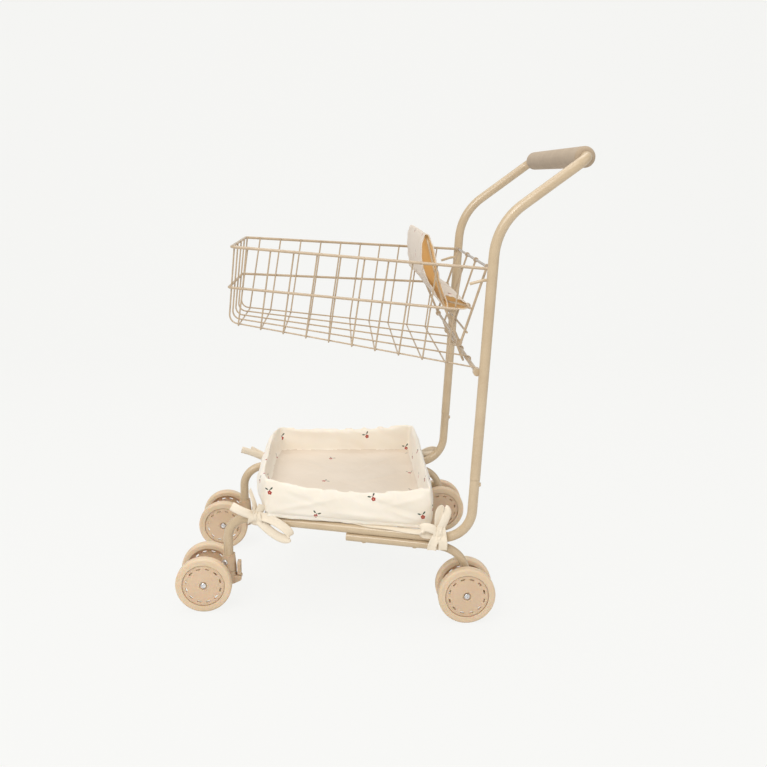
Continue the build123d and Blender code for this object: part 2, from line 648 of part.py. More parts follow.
rim_end_x = TOP_ROD_X
rim_points = [
    (rim_end_x, -rim_half(rim_end_x), rim_z(rim_end_x)),
    (RIM_FRONT_X, -RIM_FRONT_HALF, RIM_FRONT_Z),
    (RIM_FRONT_X, RIM_FRONT_HALF, RIM_FRONT_Z),
    (rim_end_x, rim_half(rim_end_x), rim_z(rim_end_x)),
]
rod_keepout = bar((TOP_ROD_X, -UPRIGHT_HALF, TOP_ROD_Z), (TOP_ROD_X, UPRIGHT_HALF, TOP_ROD_Z),
                  TOP_ROD_D + 2 * WELD_GAP)
save("basket_rim", biggest(round_bar(rim_points, [RIM_CORNER, RIM_CORNER], RIM_D) - rod_keepout))

# The middle ring lies outside the legs: its side line is set off from the first and last legs.
mid_reach = MID_D / 2 + GRID_D / 2 + WELD_GAP
mid_first = leg_at(u_legs[0], MID_FRONT_Z + RIM_SLOPE * (U_LOW_X - FLOOR_FRONT_X))
mid_last = leg_at(u_legs[-1], MID_FRONT_Z + RIM_SLOPE * (MID_REAR_X - FLOOR_FRONT_X))
mid_run = (mid_last - mid_first).normalized()
leg_run = (u_legs[4][1] - u_legs[4][0]).normalized()
mid_out = mid_run.cross(leg_run).normalized()
mid_out = mid_out if mid_out.Y < 0 else -mid_out
mid_bow = 0.25
mid_first = mid_first + mid_out * (mid_reach + mid_bow)
mid_last = mid_last + mid_out * (mid_reach + mid_bow)
wire_lean = (front_top_x - FLOOR_FRONT_X) / (RIM_FRONT_Z + front_rise - FLOOR_FRONT_Z)
mid_front_x = FLOOR_FRONT_X + wire_lean * (MID_FRONT_Z - FLOOR_FRONT_Z) - mid_reach - RUN_GAP
mid_corner = between(mid_first, mid_last, (mid_front_x - mid_first.X) / (mid_last.X - mid_first.X))
mid_end = mid_last + mid_run * 3
mid_points = [mid_end, mid_corner, Vector(mid_corner.X, -mid_corner.Y, mid_corner.Z),
              Vector(mid_end.X, -mid_end.Y, mid_end.Z)]
save("basket_mid_ring", round_bar([tuple(p) for p in mid_points], [RIM_CORNER, RIM_CORNER], MID_D))

# ---- rods, lugs and stop arms ----------------------------------------------------------------
rod_reach = UPRIGHT_HALF - 1
save("top_rod", bar((TOP_ROD_X, -rod_reach, TOP_ROD_Z), (TOP_ROD_X, rod_reach, TOP_ROD_Z), TOP_ROD_D))
lug_rod_end = LUG_OUT - 2
save("cross_rod", bar((CROSS_X, -lug_rod_end, CROSS_Z), (CROSS_X, lug_rod_end, CROSS_Z), ROD_D))
lug = bar((CROSS_X, -LUG_OUT, CROSS_Z), (CROSS_X, -LUG_IN, CROSS_Z), 2 * LUG_R)
lug = chamfer(lug.edges().group_by(Axis.Y)[-1], 1.2)
lug = lug - bar((CROSS_X, -lug_rod_end - WELD_GAP, CROSS_Z), (CROSS_X, 0, CROSS_Z), ROD_D + 2 * WELD_GAP)
lug = biggest(lug - handle_keepout)
save("cross_rod_lugs", lug, other_side(lug))
arm_y = UPRIGHT_HALF - HANDLE_D / 4
arm_x = upright_x(ARM_Z)
arm_points = [
    (arm_x, -arm_y, ARM_Z),
    (arm_x - ARM_KNEE, -arm_y, ARM_Z - ARM_DROP / 5),
    (arm_x - ARM_REACH, -arm_y + ARM_TUCK, ARM_Z - ARM_DROP),
]
stop_arm = biggest(round_bar(arm_points, [ARM_BEND], RIM_D) - handle_keepout)
save("stop_arms", stop_arm, other_side(stop_arm))

# ---- rear gate -------------------------------------------------------------------------------
hang = Vector(GATE_LOW_X - TOP_ROD_X, 0, GATE_LOW_Z - TOP_ROD_Z)
gate_length = hang.length
hang = hang.normalized()
gate_back = Vector(-hang.Z, 0, hang.X)      # normal to the gate, pointing to the shopper
rod_point = Vector(TOP_ROD_X, 0, TOP_ROD_Z)


def gate_point(z, lift):
    """Point in the middle plane at height z of the gate sheet, lifted off it towards the shopper."""
    return rod_point + hang * ((z - TOP_ROD_Z) / hang.Z) + gate_back * lift


def crosswise(point, half, diameter):
    return bar((point.X, -half, point.Z), (point.X, half, point.Z), diameter)


hangers = []
eyelets = []
for y, diameter in ((GATE_HALF, GATE_SIDE_D), (GATE_INNER, GATE_INNER_D)):
    for side in (-1, 1):
        aside = Vector(0, side * y, 0)
        start = rod_point + aside + hang * (EYELET_R + WELD_GAP)
        end = rod_point + aside + hang * (gate_length - GATE_LOW_D / 2 - WELD_GAP)
        hangers.append(bar(tuple(start), tuple(end), diameter))
        sleeve = Cylinder(EYELET_R, EYELET_L) - Cylinder(TOP_ROD_D / 2 + RUN_GAP, 2 * EYELET_L)
        eyelets.append(Pos(TOP_ROD_X, side * y, TOP_ROD_Z) * Rot(90, 0, 0) * sleeve)
save("gate_hangers", *hangers)
save("gate_eyelets", *eyelets)
low_wire = crosswise(Vector(GATE_LOW_X, 0, GATE_LOW_Z), GATE_HALF + GATE_SIDE_D / 2, GATE_LOW_D)
mid_wire = crosswise(gate_point(GATE_MID_Z, (GATE_SIDE_D + GATE_INNER_D) / 2 + WELD_GAP),
                     GATE_HALF + GATE_SIDE_D / 2, GATE_INNER_D)
seat_axis = gate_point(GATE_SEAT_Z, -(GATE_SIDE_D + GATE_SEAT_D) / 2 - WELD_GAP)
seat_wire = crosswise(seat_axis, GATE_HALF + GATE_SIDE_D / 2, GATE_SEAT_D)
save("gate_cross_wires", low_wire, mid_wire, seat_wire)
foot_x = CROSS_X - ROD_D / 2 - FOOT_D / 2 - PASS_GAP
foot_loops = []
for side in (-1, 1):
    start = Vector(GATE_LOW_X, 0, GATE_LOW_Z)
    tip = Vector(foot_x, 0, FOOT_Z)
    start = start + (tip - start).normalized() * ((GATE_LOW_D + FOOT_D) / 2 * 0.62 + WELD_GAP)
    ends = [Vector(0, side * FOOT_Y - FOOT_HALF, 0), Vector(0, side * FOOT_Y + FOOT_HALF, 0)]
    points = [start + ends[0], tip + ends[0], tip + ends[1], start + ends[1]]
    loop = round_bar([tuple(p) for p in points], [3.5, 3.5], FOOT_D)
    keep = bar((GATE_LOW_X, -GATE_HALF, GATE_LOW_Z), (GATE_LOW_X, GATE_HALF, GATE_LOW_Z),
               GATE_LOW_D + 2 * WELD_GAP)
    foot_loops.append(biggest(loop - keep))
save("gate_foot_loops", *foot_loops)


# ---- doll seat -------------------------------------------------------------------------------
def eye_ring(x, y, z, outer, shaft_d):
    """Short rolled eye around a crosswise wire."""
    ring = Cylinder(outer, EYE_L) - Cylinder(shaft_d / 2 + RUN_GAP, 2 * EYE_L)
    return Pos(x, y, z) * Rot(90, 0, 0) * ring


def seat_frame(side_line, half, bends, eye_r, shaft_d):
    """U-shaped wire hung on a crosswise wire by a rolled eye at each end."""
    left = [(x, -half, z) for x, z in side_line]
    right = [(x, half, z) for x, z in side_line]
    pivot_x, pivot_z = side_line[0]
    wire = round_bar(left + right[::-1], bends, SEAT_WIRE_D)
    for y in (-half, half):
        wire = wire - Pos(pivot_x, y, pivot_z) * Rot(90, 0, 0) * Cylinder(shaft_d / 2 + RUN_GAP, 3 * EYE_L)
    wire = biggest(wire)
    for y in (-half, half):
        wire = wire + eye_ring(pivot_x, y, pivot_z, eye_r, shaft_d)
    return biggest(wire)


def cloth_sleeve(outline, half, thickness):
    """Closed cloth sleeve: the outline in X and Z, drawn in by the cloth, run across the seat."""
    return Plane.XZ * closed_sleeve(outline, thickness, half)


def wire_slits(x, z, depth, height, half):
    """Slits in the sleeve's sewn edge that let the two side wires through."""
    slit = Box(depth, SEAT_WIRE_D + 2 * PASS_GAP, height)
    return Pos(x, -half, z) * slit + Pos(x, half, z) * slit


back_line = [(GATE_LOW_X, GATE_LOW_Z), (76.5, 376.0), (66.0, 415.0), (57.5, 450.0)]
back_bends = [60.0, 60.0, 9.0, 9.0, 60.0, 60.0]
back_frame = seat_frame(back_line, BACK_HALF, back_bends, BACK_EYE_R, GATE_LOW_D)
back_outline = [
    (73.0, 385.5), (63.5, 399.0), (55.0, 417.7), (51.6, 436.0), (52.6, 449.0), (56.8, 454.4),
    (61.2, 450.5), (65.0, 435.0), (69.2, 418.0), (72.8, 402.0), (75.9, 388.5),
]
back_slits = wire_slits(*back_outline[0], SLIT_DEPTH, SLIT_HEIGHT, BACK_HALF)
back_cloth = biggest(cloth_sleeve(back_outline, BACK_CLOTH_HALF, CLOTH_T) - back_slits)
save("seat_back_frame", back_frame)
save("seat_back_cover", back_cloth)

base_line = [(seat_axis.X, seat_axis.Z), (BASE_FRONT_X, BASE_FRONT_Z)]
base_bends = [7.0, 7.0]
base_frame = seat_frame(base_line, BASE_HALF, base_bends, BASE_EYE_R, GATE_SEAT_D)
base_run = Vector(seat_axis.X - BASE_FRONT_X, 0, seat_axis.Z - BASE_FRONT_Z).normalized()
base_up = Vector(-base_run.Z, 0, base_run.X)


def base_point(along, lift):
    p = Vector(BASE_FRONT_X, 0, BASE_FRONT_Z) + base_run * along + base_up * lift
    return (p.X, p.Z)


base_outline = [
    base_point(-3.1, 0), base_point(-1.6, 2.7), base_point(4, 3.6), base_point(11, 4.0),
    base_point(17, 3.2), base_point(20.6, 0), base_point(17, -3.0), base_point(11, -3.8),
    base_point(4, -3.4), base_point(-1.6, -2.6),
]
base_slits = wire_slits(*base_point(20, 0), SLIT_HEIGHT, SLIT_DEPTH, BASE_HALF)
base_cloth = biggest(cloth_sleeve(base_outline, BASE_CLOTH_HALF, CLOTH_T) - base_slits)
save("seat_base_frame", base_frame)
save("seat_base_cover", base_cloth)


# ---- lower tray ------------------------------------------------------------------------------
def board_low(x):
    return rail_z(x) + TUBE_D / 2 + UNDER_CLOTH


def board_top(x):
    return board_low(x) + BOARD_T


def pad_top(x):
    return board_top(x) + PAD_T


def tray_share(x):
    return (x - TRAY_FRONT_X) / (TRAY_REAR_X - TRAY_FRONT_X)


def tray_top(x):
    return between(TRAY_FRONT_TOP, TRAY_REAR_TOP, tray_share(x))


def tray_half(x, inset):
    front = rail_half(TRAY_FRONT_X) + TRAY_FRONT_OVER
    rear = rail_half(TRAY_REAR_X) + TRAY_REAR_OVER
    return between(front, rear, tray_share(x)) - inset


def tray_face(inset, bow, height):
    """Tray outline drawn in by inset, end walls bowed by a share of their bow, at the height for each X."""
    x_front = TRAY_FRONT_X + inset
    x_rear = TRAY_REAR_X - inset
    half_front = tray_half(x_front, inset)
    half_rear = tray_half(x_rear, inset)
    front_middle = x_front - TRAY_FRONT_BOW * bow
    rear_middle = x_rear + TRAY_REAR_BOW * bow
    front_left = (x_front, -half_front, height(x_front))
    front_right = (x_front, half_front, height(x_front))
    rear_left = (x_rear, -half_rear, height(x_rear))
    rear_right = (x_rear, half_rear, height(x_rear))
    return make_face(Curve() + [
        Line(front_left, rear_left),
        ThreePointArc(rear_left, (rear_middle, 0, height(rear_middle)), rear_right),
        Line(rear_right, front_right),
        ThreePointArc(front_right, (front_middle, 0, height(front_middle)), front_left),
    ])


def tray_block(low_inset, low_bow, low, top_inset, top_bow, top, corner):
    block = loft([tray_face(low_inset, low_bow, low), tray_face(top_inset, top_bow, top)], ruled=True)
    upright = [e for e in block.edges() if abs((e @ 1 - e @ 0).Z) > 0.8 * e.length]
    return fillet(upright, corner)


low_bow = 0.3
board = tray_block(TRAY_LOW_INSET, low_bow, board_low, TRAY_LOW_INSET, low_bow, board_top, TRAY_CORNER)
save("tray_board", board)
walls = tray_block(TRAY_LOW_INSET, low_bow, lambda x: board_top(x) + WELD_GAP, 0, 1, tray_top, TRAY_CORNER)
hollow_corner = TRAY_CORNER - TRAY_WALL * 0.8
hollow = tray_block(TRAY_LOW_INSET + TRAY_WALL, low_bow, lambda x: board_top(x) - 1, TRAY_WALL, 1,
                    lambda x: tray_top(x) + 5, hollow_corner)
walls = walls - hollow
# The long walls dip between the corners: the top is cut along a smooth line run across the cart.
dip_margin = TRAY_FRONT_BOW + 10
dip_x = [TRAY_FRONT_X + (TRAY_REAR_X - TRAY_FRONT_X) * share for share in (0, 0.2, 0.5, 0.8, 1)]
dip_depth = [0, 0.85 * TRAY_SAG, TRAY_SAG, 0.8 * TRAY_SAG, 0]
dip_line = [(x, tray_top(x) - depth) for x, depth in zip(dip_x, dip_depth)]
dip_line = [(dip_x[0] - dip_margin, tray_top(dip_x[0] - dip_margin))] + dip_line
dip_line = dip_line + [(dip_x[-1] + dip_margin, tray_top(dip_x[-1] + dip_margin))]
above = TRAY_FRONT_TOP + 40
dip_side = make_face(Curve() + [
    Spline(*dip_line),
    Line(dip_line[-1], (dip_line[-1][0], above)),
    Line((dip_line[-1][0], above), (dip_line[0][0], above)),
    Line((dip_line[0][0], above), dip_line[0]),
])
walls = biggest(walls - extrude(Plane.XZ * dip_side, amount=2 * UPRIGHT_HALF, both=True))
rim_low = TRAY_REAR_TOP - TRAY_SAG - 3
rolled = [e for e in walls.edges() if e.center().Z > rim_low and abs((e @ 1 - e @ 0).Z) < 0.5 * e.length + 1]
walls = fillet(rolled, TRAY_WALL * 0.35)
save("tray_walls", walls)
pad_inset = TRAY_LOW_INSET + TRAY_WALL + 0.6
pad = tray_block(pad_inset, low_bow, lambda x: board_top(x) + WELD_GAP,
                 pad_inset, low_bow, pad_top, hollow_corner)
pad = fillet([e for e in pad.edges() if min(v.Z for v in e.vertices()) > pad_top(TRAY_REAR_X) - 3], 3.5)
save("tray_pad", pad)


# ---- ribbon ties -----------------------------------------------------------------------------
def band_frame(start, end, flat):
    """Plane whose X runs from start to end and whose Z is the width of a band that faces flat."""
    run = (end - start).normalized()
    return Plane(origin=start, x_dir=run, z_dir=run.cross(flat).normalized())


def ribbon_loop(start, end, flat, swell):
    """Loop of ribbon from the knot out to end and back, swollen by half of swell each way."""
    reach = (end - start).length
    upper = [(0.12, 0.3), (0.4, 0.46), (0.75, 0.5), (0.95, 0.3)]
    shares = [(0, 0), *upper, (1, 0), *[(along, -aside) for along, aside in upper[::-1]]]
    outline = [(along * reach, aside * swell) for along, aside in shares]
    return band_frame(start, end, flat) * closed_sleeve(outline, RIBBON_T, RIBBON_W / 2)


def ribbon_tail(start, end, flat, sway):
    """Free tail of ribbon from the knot to end, swaying sideways on the way."""
    reach = (end - start).length
    side = [(0, 0), (0.35 * reach, sway), (0.7 * reach, -0.4 * sway), (reach, 0.3 * sway)]
    upper = [(x, y + RIBBON_T) for x, y in side]
    edges = [Spline(*side), Line(side[-1], upper[-1]), Spline(*upper), Line(upper[0], side[0])]
    face = make_face(Curve() + edges)
    return band_frame(start, end, flat) * extrude(face, amount=RIBBON_W / 2, both=True)


def tie(rail_x, knot_lift, knot_height, loops, tails):
    """Band round the rail, a knot outside it, and the bow: loops and tails end at offsets from the knot."""
    axis_point = Vector(rail_x, -rail_half(rail_x), rail_z(rail_x))
    rail_run = Vector(HEEL_X - STEM_X, STEM_HALF - UPRIGHT_HALF, HEEL_Z - RAIL_FRONT_Z).normalized()
    ring_plane = Plane(origin=axis_point, z_dir=rail_run)
    band = Cylinder(TUBE_D / 2 + RIBBON_T, RIBBON_W) - Cylinder(TUBE_D / 2 + WELD_GAP, 2 * RIBBON_W)
    knot_at = axis_point + Vector(0, -TUBE_D / 2 - KNOT_OUT, knot_lift)
    knot = fillet(Box(*KNOT_SIZE, knot_height).edges(), 0.3 * KNOT_SIZE[1])
    bow = ring_plane * band + Pos(*knot_at) * knot
    for reach, flat, swell in loops:
        bow = bow + ribbon_loop(knot_at, knot_at + Vector(*reach), Vector(*flat), swell)
    for reach, flat, sway in tails:
        bow = bow + ribbon_tail(knot_at, knot_at + Vector(*reach), Vector(*flat), sway)
    return biggest(bow - frame_keepout - leg_keepout)


facing_out = (0, -1, 0)
front_tie = tie(
    TIE_FRONT_X, TIE_FRONT_LIFT, TIE_FRONT_KNOT,
    loops=[((39.0, -9.0, -22.0), facing_out, 9.0)],
    tails=[((-27.0, -3.5, 14.5), facing_out, 2.0), ((-4.5, -2.0, 36.0), (-1, 0, 0), 2.0)],
)
rear_tie = tie(
    TIE_REAR_X, TIE_REAR_LIFT, TIE_REAR_KNOT,
    loops=[((4.5, -2.5, 26.5), (-1, 0, 0), 7.0), ((-19.0, -4.0, 3.5), facing_out, 6.0)],
    tails=[((-10.0, -4.5, -20.5), facing_out, 1.5), ((3.5, -4.0, -20.5), facing_out, -1.5)],
)
save("tie_front_left", front_tie)
save("tie_front_right", other_side(front_tie))
save("tie_rear_left", rear_tie)
save("tie_rear_right", other_side(rear_tie))
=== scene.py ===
# %% [markdown]
# # A toy shopping cart
# The frame, wire basket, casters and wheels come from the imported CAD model. This notebook dresses them:
# it gives each finish its own procedural material, sews the cotton tray and the two seat sleeves, ties the
# four bows, and lights the result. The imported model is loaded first, because every length below is in its
# frame: metres, Z up, the shopper on the +X side.

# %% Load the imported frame
import math
import bpy
import numpy as np
from mathutils import Matrix, Vector


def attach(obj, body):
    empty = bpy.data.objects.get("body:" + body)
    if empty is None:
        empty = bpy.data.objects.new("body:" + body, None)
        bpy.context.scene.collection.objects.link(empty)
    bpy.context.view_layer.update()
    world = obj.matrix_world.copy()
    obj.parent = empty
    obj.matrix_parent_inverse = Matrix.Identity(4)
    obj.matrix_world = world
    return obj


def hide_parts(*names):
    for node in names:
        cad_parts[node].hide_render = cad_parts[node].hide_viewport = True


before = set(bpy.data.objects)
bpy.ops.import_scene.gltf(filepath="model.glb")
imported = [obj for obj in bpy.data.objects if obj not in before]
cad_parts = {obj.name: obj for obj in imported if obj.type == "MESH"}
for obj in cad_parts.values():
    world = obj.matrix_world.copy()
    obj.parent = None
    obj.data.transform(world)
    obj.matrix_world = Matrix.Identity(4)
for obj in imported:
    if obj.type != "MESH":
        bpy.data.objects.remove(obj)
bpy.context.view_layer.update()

# %% [markdown]
# ## Camera
# A product picture of a low, long cart is taken from a little above its side. The camera could be aimed with
# a Track To constraint, but three axis vectors say exactly which way it looks and how it is rolled, and they
# become the columns of its matrix. A lens of 47 mm on a 36 mm sensor keeps the near and far wheels close in
# size.

# %% Camera
YAW, PITCH, ROLL = 0.0434, 0.2037, 0.0044
EYE = Vector((-0.04180, -1.27845, 0.51817))
SENSOR = 36.0
FOCAL_PIXELS, IMAGE_PIXELS = 1000.0, 767.0


def camera_axes(yaw, pitch, roll):
    """Right, up and backward unit vectors: forward turned by yaw from +Y, dipped by pitch, then rolled."""
    forward = Vector((math.sin(yaw) * math.cos(pitch), math.cos(yaw) * math.cos(pitch), -math.sin(pitch)))
    right = Vector((math.cos(yaw), -math.sin(yaw), 0))
    up = right.cross(forward)
    c, s = math.cos(roll), math.sin(roll)
    return c * right + s * up, -s * right + c * up, -forward


camera_data = bpy.data.cameras.new("side_camera")
camera_data.sensor_width = SENSOR
camera_data.lens = SENSOR * FOCAL_PIXELS / IMAGE_PIXELS
camera = bpy.data.objects.new("side_camera", camera_data)
axes = Matrix([list(v) for v in camera_axes(YAW, PITCH, ROLL)]).transposed()
camera.matrix_world = Matrix.Translation(EYE) @ axes.to_4x4()
bpy.context.scene.collection.objects.link(camera)
bpy.context.scene.camera = camera
print("lens", round(camera_data.lens, 2), "mm at", list(EYE))

# %% [markdown]
# ## Studio
# The floor is a wide pale sheet that curves up into a backdrop, so no horizon line shows from the front. Three
# large area lamps stand in for soft boxes, and a small fourth one puts a crisp highlight on the tubes. The
# backdrop's whiteness comes from its own material, which shows it only to the camera and through clear things,
# so the cart itself stays at a plain light level.

# %% Helpers for meshes
def vectors(items, key):
    """(n, 3) array of one vector property of all vertices or all faces of a mesh."""
    values = np.empty(len(items) * 3)
    items.foreach_get(key, values)
    return values.reshape(-1, 3)


def mesh_object(name, points, faces):
    """Smooth-shaded object at the origin with the given (n, 3) points and list of faces."""
    data = bpy.data.meshes.new(name)
    data.from_pydata(points.tolist(), [], [list(map(int, f)) for f in faces])
    data.polygons.foreach_set("use_smooth", np.ones(len(data.polygons), bool))
    data.update()
    obj = bpy.data.objects.new(name, data)
    bpy.context.scene.collection.objects.link(obj)
    return obj


def grid_faces(nu, nv, wrap_u, wrap_v, start=0):
    """Quads of an nu by nv grid, joined end to start along u or v where wrap is true."""
    iu = np.arange(nu if wrap_u else nu - 1)
    iv = np.arange(nv if wrap_v else nv - 1)
    u, v = np.meshgrid(iu, iv, indexing="ij")
    un, vn = (u + 1) % nu, (v + 1) % nv
    quads = np.stack([u * nv + v, un * nv + v, un * nv + vn, u * nv + vn], axis=-1)
    return quads.reshape(-1, 4) + start


def set_uv(obj, corners):
    """UV map called cloth, from one (u, v) pair for each corner of each face, in metres."""
    layer = obj.data.uv_layers.get("cloth") or obj.data.uv_layers.new(name="cloth")
    layer.data.foreach_set("uv", corners.reshape(-1))


def thicken(obj, thickness, offset=0):
    """Cloth thickness: a Solidify modifier on both sides of the surface, or with offset 1 outside it."""
    cloth = obj.modifiers.new("cloth_thickness", "SOLIDIFY")
    cloth.thickness = thickness
    cloth.offset = offset
    return cloth


print("mesh helpers ready")

# %% Floor and backdrop
BEND_START = 1.6


def sweep_sheet(width, depth, rise, bend, n=24):
    """Floor sheet: a straight run to BEND_START in Y, a quarter circle of radius bend, then a run upwards."""
    a = np.linspace(0, np.pi / 2, n)
    y = np.concatenate([[-depth], bend * np.sin(a) + BEND_START, [bend + BEND_START]])
    z = np.concatenate([[0], bend - bend * np.cos(a), [rise]])
    x = np.linspace(-width, width, 3)
    px, py = np.meshgrid(x, y, indexing="ij")
    pz = np.broadcast_to(z, px.shape)
    return np.stack([px, py, pz], axis=-1)


sheet = sweep_sheet(6.0, 4.0, 4.5, 1.2)
backdrop = mesh_object("studio_floor", sheet.reshape(-1, 3), grid_faces(*sheet.shape[:2], False, False))
print("floor", len(backdrop.data.polygons), "quads")


# %% Lamps and world
AMBIENT = 0.47
BACKGROUND = (0.930, 0.930, 0.913, 1)


def area_lamp(name, where, aim, size, watts):
    """Square soft box at where, turned to aim."""
    data = bpy.data.lights.new(name, "AREA")
    data.shape = "SQUARE"
    data.size = size
    data.energy = watts
    lamp = bpy.data.objects.new(name, data)
    lamp.location = where
    lamp.rotation_euler = (Vector(aim) - Vector(where)).to_track_quat("-Z", "Y").to_euler()
    bpy.context.scene.collection.objects.link(lamp)


def seen_rays(tree):
    """Socket that is 1 for camera and transmission rays and 0 for all others."""
    path = tree.nodes.new("ShaderNodeLightPath")
    either = tree.nodes.new("ShaderNodeMath")
    either.operation = "MAXIMUM"
    tree.links.new(path.outputs["Is Camera Ray"], either.inputs[0])
    tree.links.new(path.outputs["Is Transmission Ray"], either.inputs[1])
    return either.outputs[0]


area_lamp("key_softbox", (-1.3, -1.7, 2.1), (0, 0, 0.25), 1.5, 29)
area_lamp("fill_softbox", (1.9, -1.5, 1.3), (0, 0, 0.25), 1.8, 11)
area_lamp("top_softbox", (0.0, 0.4, 2.6), (0, 0, 0.2), 2.0, 27)
area_lamp("sparkle_box", (-0.5, -1.9, 1.5), (0, 0, 0.25), 0.30, 7)

world = bpy.data.worlds.new("studio_world")
bpy.context.scene.world = world
world.use_nodes = True
wn, wl = world.node_tree.nodes, world.node_tree.links
wn.clear()
ambient = wn.new("ShaderNodeBackground")
ambient.inputs["Color"].default_value = (1.0, 0.99, 0.97, 1)
ambient.inputs["Strength"].default_value = AMBIENT
seen = wn.new("ShaderNodeBackground")
seen.inputs["Color"].default_value = BACKGROUND
seen.inputs["Strength"].default_value = 1.0
choose = wn.new("ShaderNodeMixShader")
world_out = wn.new("ShaderNodeOutputWorld")
wl.new(seen_rays(world.node_tree), choose.inputs[0])
wl.new(ambient.outputs[0], choose.inputs[1])
wl.new(seen.outputs[0], choose.inputs[2])
wl.new(choose.outputs[0], world_out.inputs[0])
bpy.context.scene.view_settings.view_transform = "Standard"

# %% [markdown]
# ## Materials
# Each finish is a node tree on the Principled shader. Patterns read Object coordinates, in metres, so a noise
# scale of 900 means about one grain per millimetre. Fixed numbers are set on the shader itself; only what
# varies over the surface is wired up. A small class keeps the wiring short to read.

# %% Node helper
class Finish:
    """A material with its Principled shader, and short ways to add and join nodes."""

    def __init__(self, name, color, roughness, **values):
        self.material = bpy.data.materials.new(name)
        self.material.use_nodes = True
        self.tree = self.material.node_tree
        self.shader = self.tree.nodes["Principled BSDF"]
        self.shader.inputs["Base Color"].default_value = (*color, 1)
        self.shader.inputs["Roughness"].default_value = roughness
        for key, value in values.items():
            self.shader.inputs[key.replace("_", " ")].default_value = value

    def add(self, kind, **settings):
        """New node; settings that name an input fill it, and others are attributes."""
        node = self.tree.nodes.new("ShaderNode" + kind)
        for key, value in settings.items():
            label = key.replace("_", " ")
            if label in node.inputs:
                node.inputs[label].default_value = value
            else:
                setattr(node, key, value)
        return node

    def join(self, source, target):
        self.tree.links.new(source, target)

    def coords(self):
        return self.add("TexCoord").outputs["Object"]

    def noise(self, scale, detail=2.0):
        node = self.add("TexNoise", Scale=scale, Detail=detail)
        self.join(self.coords(), node.inputs["Vector"])
        return node.outputs["Fac"]

    def between(self, value, low, high, to_low=0.0, to_high=1.0):
        node = self.add("MapRange", From_Min=low, From_Max=high, To_Min=to_low, To_Max=to_high)
        self.join(value, node.inputs["Value"])
        return node.outputs["Result"]

    def math(self, operation, a, b=0.0):
        node = self.add("Math", operation=operation)
        for socket, value in zip(node.inputs, (a, b)):
            if isinstance(value, (int, float)):
                socket.default_value = value
            else:
                self.join(value, socket)
        return node.outputs[0]

    def blend(self, factor, first, second):
        """Mix of two colours, each a tuple or a socket. Inputs 6 and 7 of the node are its colours."""
        node = self.add("Mix", data_type="RGBA")
        for socket, value in zip((node.inputs[0], node.inputs[6], node.inputs[7]), (factor, first, second)):
            if isinstance(value, tuple):
                socket.default_value = (*value, 1)
            else:
                self.join(value, socket)
        return node.outputs[2]

    def color(self, source):
        self.join(source, self.shader.inputs["Base Color"])

    def rough(self, source):
        self.join(source, self.shader.inputs["Roughness"])

    def bump(self, height, distance, strength):
        node = self.add("Bump", Distance=distance, Strength=strength)
        self.join(height, node.inputs["Height"])
        self.join(node.outputs["Normal"], self.shader.inputs["Normal"])


def dress(material, *names):
    """Puts the material in every slot of the named CAD nodes."""
    for name in names:
        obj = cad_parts[name]
        obj.data.materials.clear()
        obj.data.materials.append(material)
    print(material.name, "on", len(names), "nodes")


# %% [markdown]
# ### Studio white
# The floor should look evenly white, yet keep the soft shadow under the wheels. So the camera sees mostly a
# flat emission of the background's colour and a small share of real diffuse paper, which carries the shadow.
# The rays that light the cart see plain paper, and so the floor bounces a natural amount of light onto it.

# %% Studio white
WHITE = (0.938, 0.938, 0.920, 1)
FLAT_SHARE = 0.92


def studio_white():
    """Paper for light; for camera and transmission rays FLAT_SHARE of emission and the rest paper."""
    material = bpy.data.materials.new("studio_white")
    material.use_nodes = True
    tree = material.node_tree
    tree.nodes.clear()
    add = lambda kind: tree.nodes.new("ShaderNode" + kind)
    paper, flat, blend, out = (add(k) for k in ("BsdfDiffuse", "Emission", "MixShader", "OutputMaterial"))
    paper.inputs["Color"].default_value = (0.80, 0.80, 0.79, 1)
    flat.inputs["Color"].default_value = WHITE
    flat.inputs["Strength"].default_value = 1.0
    share = add("Math")
    share.operation = "MULTIPLY"
    share.inputs[1].default_value = FLAT_SHARE
    tree.links.new(seen_rays(tree), share.inputs[0])
    tree.links.new(share.outputs[0], blend.inputs[0])
    tree.links.new(paper.outputs[0], blend.inputs[1])
    tree.links.new(flat.outputs[0], blend.inputs[2])
    tree.links.new(blend.outputs[0], out.inputs[0])
    return material


backdrop.data.materials.append(studio_white())
print("floor finish", backdrop.data.materials[0].name)

# %% [markdown]
# ### Powder coat
# The tubes and wires are steel under a beige powder coat, and the rod that the gate hangs on has a greyer one.
# Real powder coat flows into a faint orange-peel surface, so a millimetre noise feeds a weak bump and shifts
# the roughness. A broader noise moves the colour by a few percent, because a coat is never equally thick.

# %% Powder coat on tubes and wires
def powder_coat(name, color, deep, grain, roughness):
    """Glossy paint: colour between two shades by a broad noise, grain-sized orange peel as bump."""
    f = Finish(name, color, roughness, Coat_Weight=0.35, Coat_Roughness=0.12, Specular_IOR_Level=0.5)
    f.color(f.blend(f.between(f.noise(38, 4), 0.35, 0.7), color, deep))
    peel = f.noise(grain, 3)
    f.rough(f.between(peel, 0.3, 0.7, roughness - 0.06, roughness + 0.08))
    f.bump(peel, 0.00008, 0.5)
    return f.material


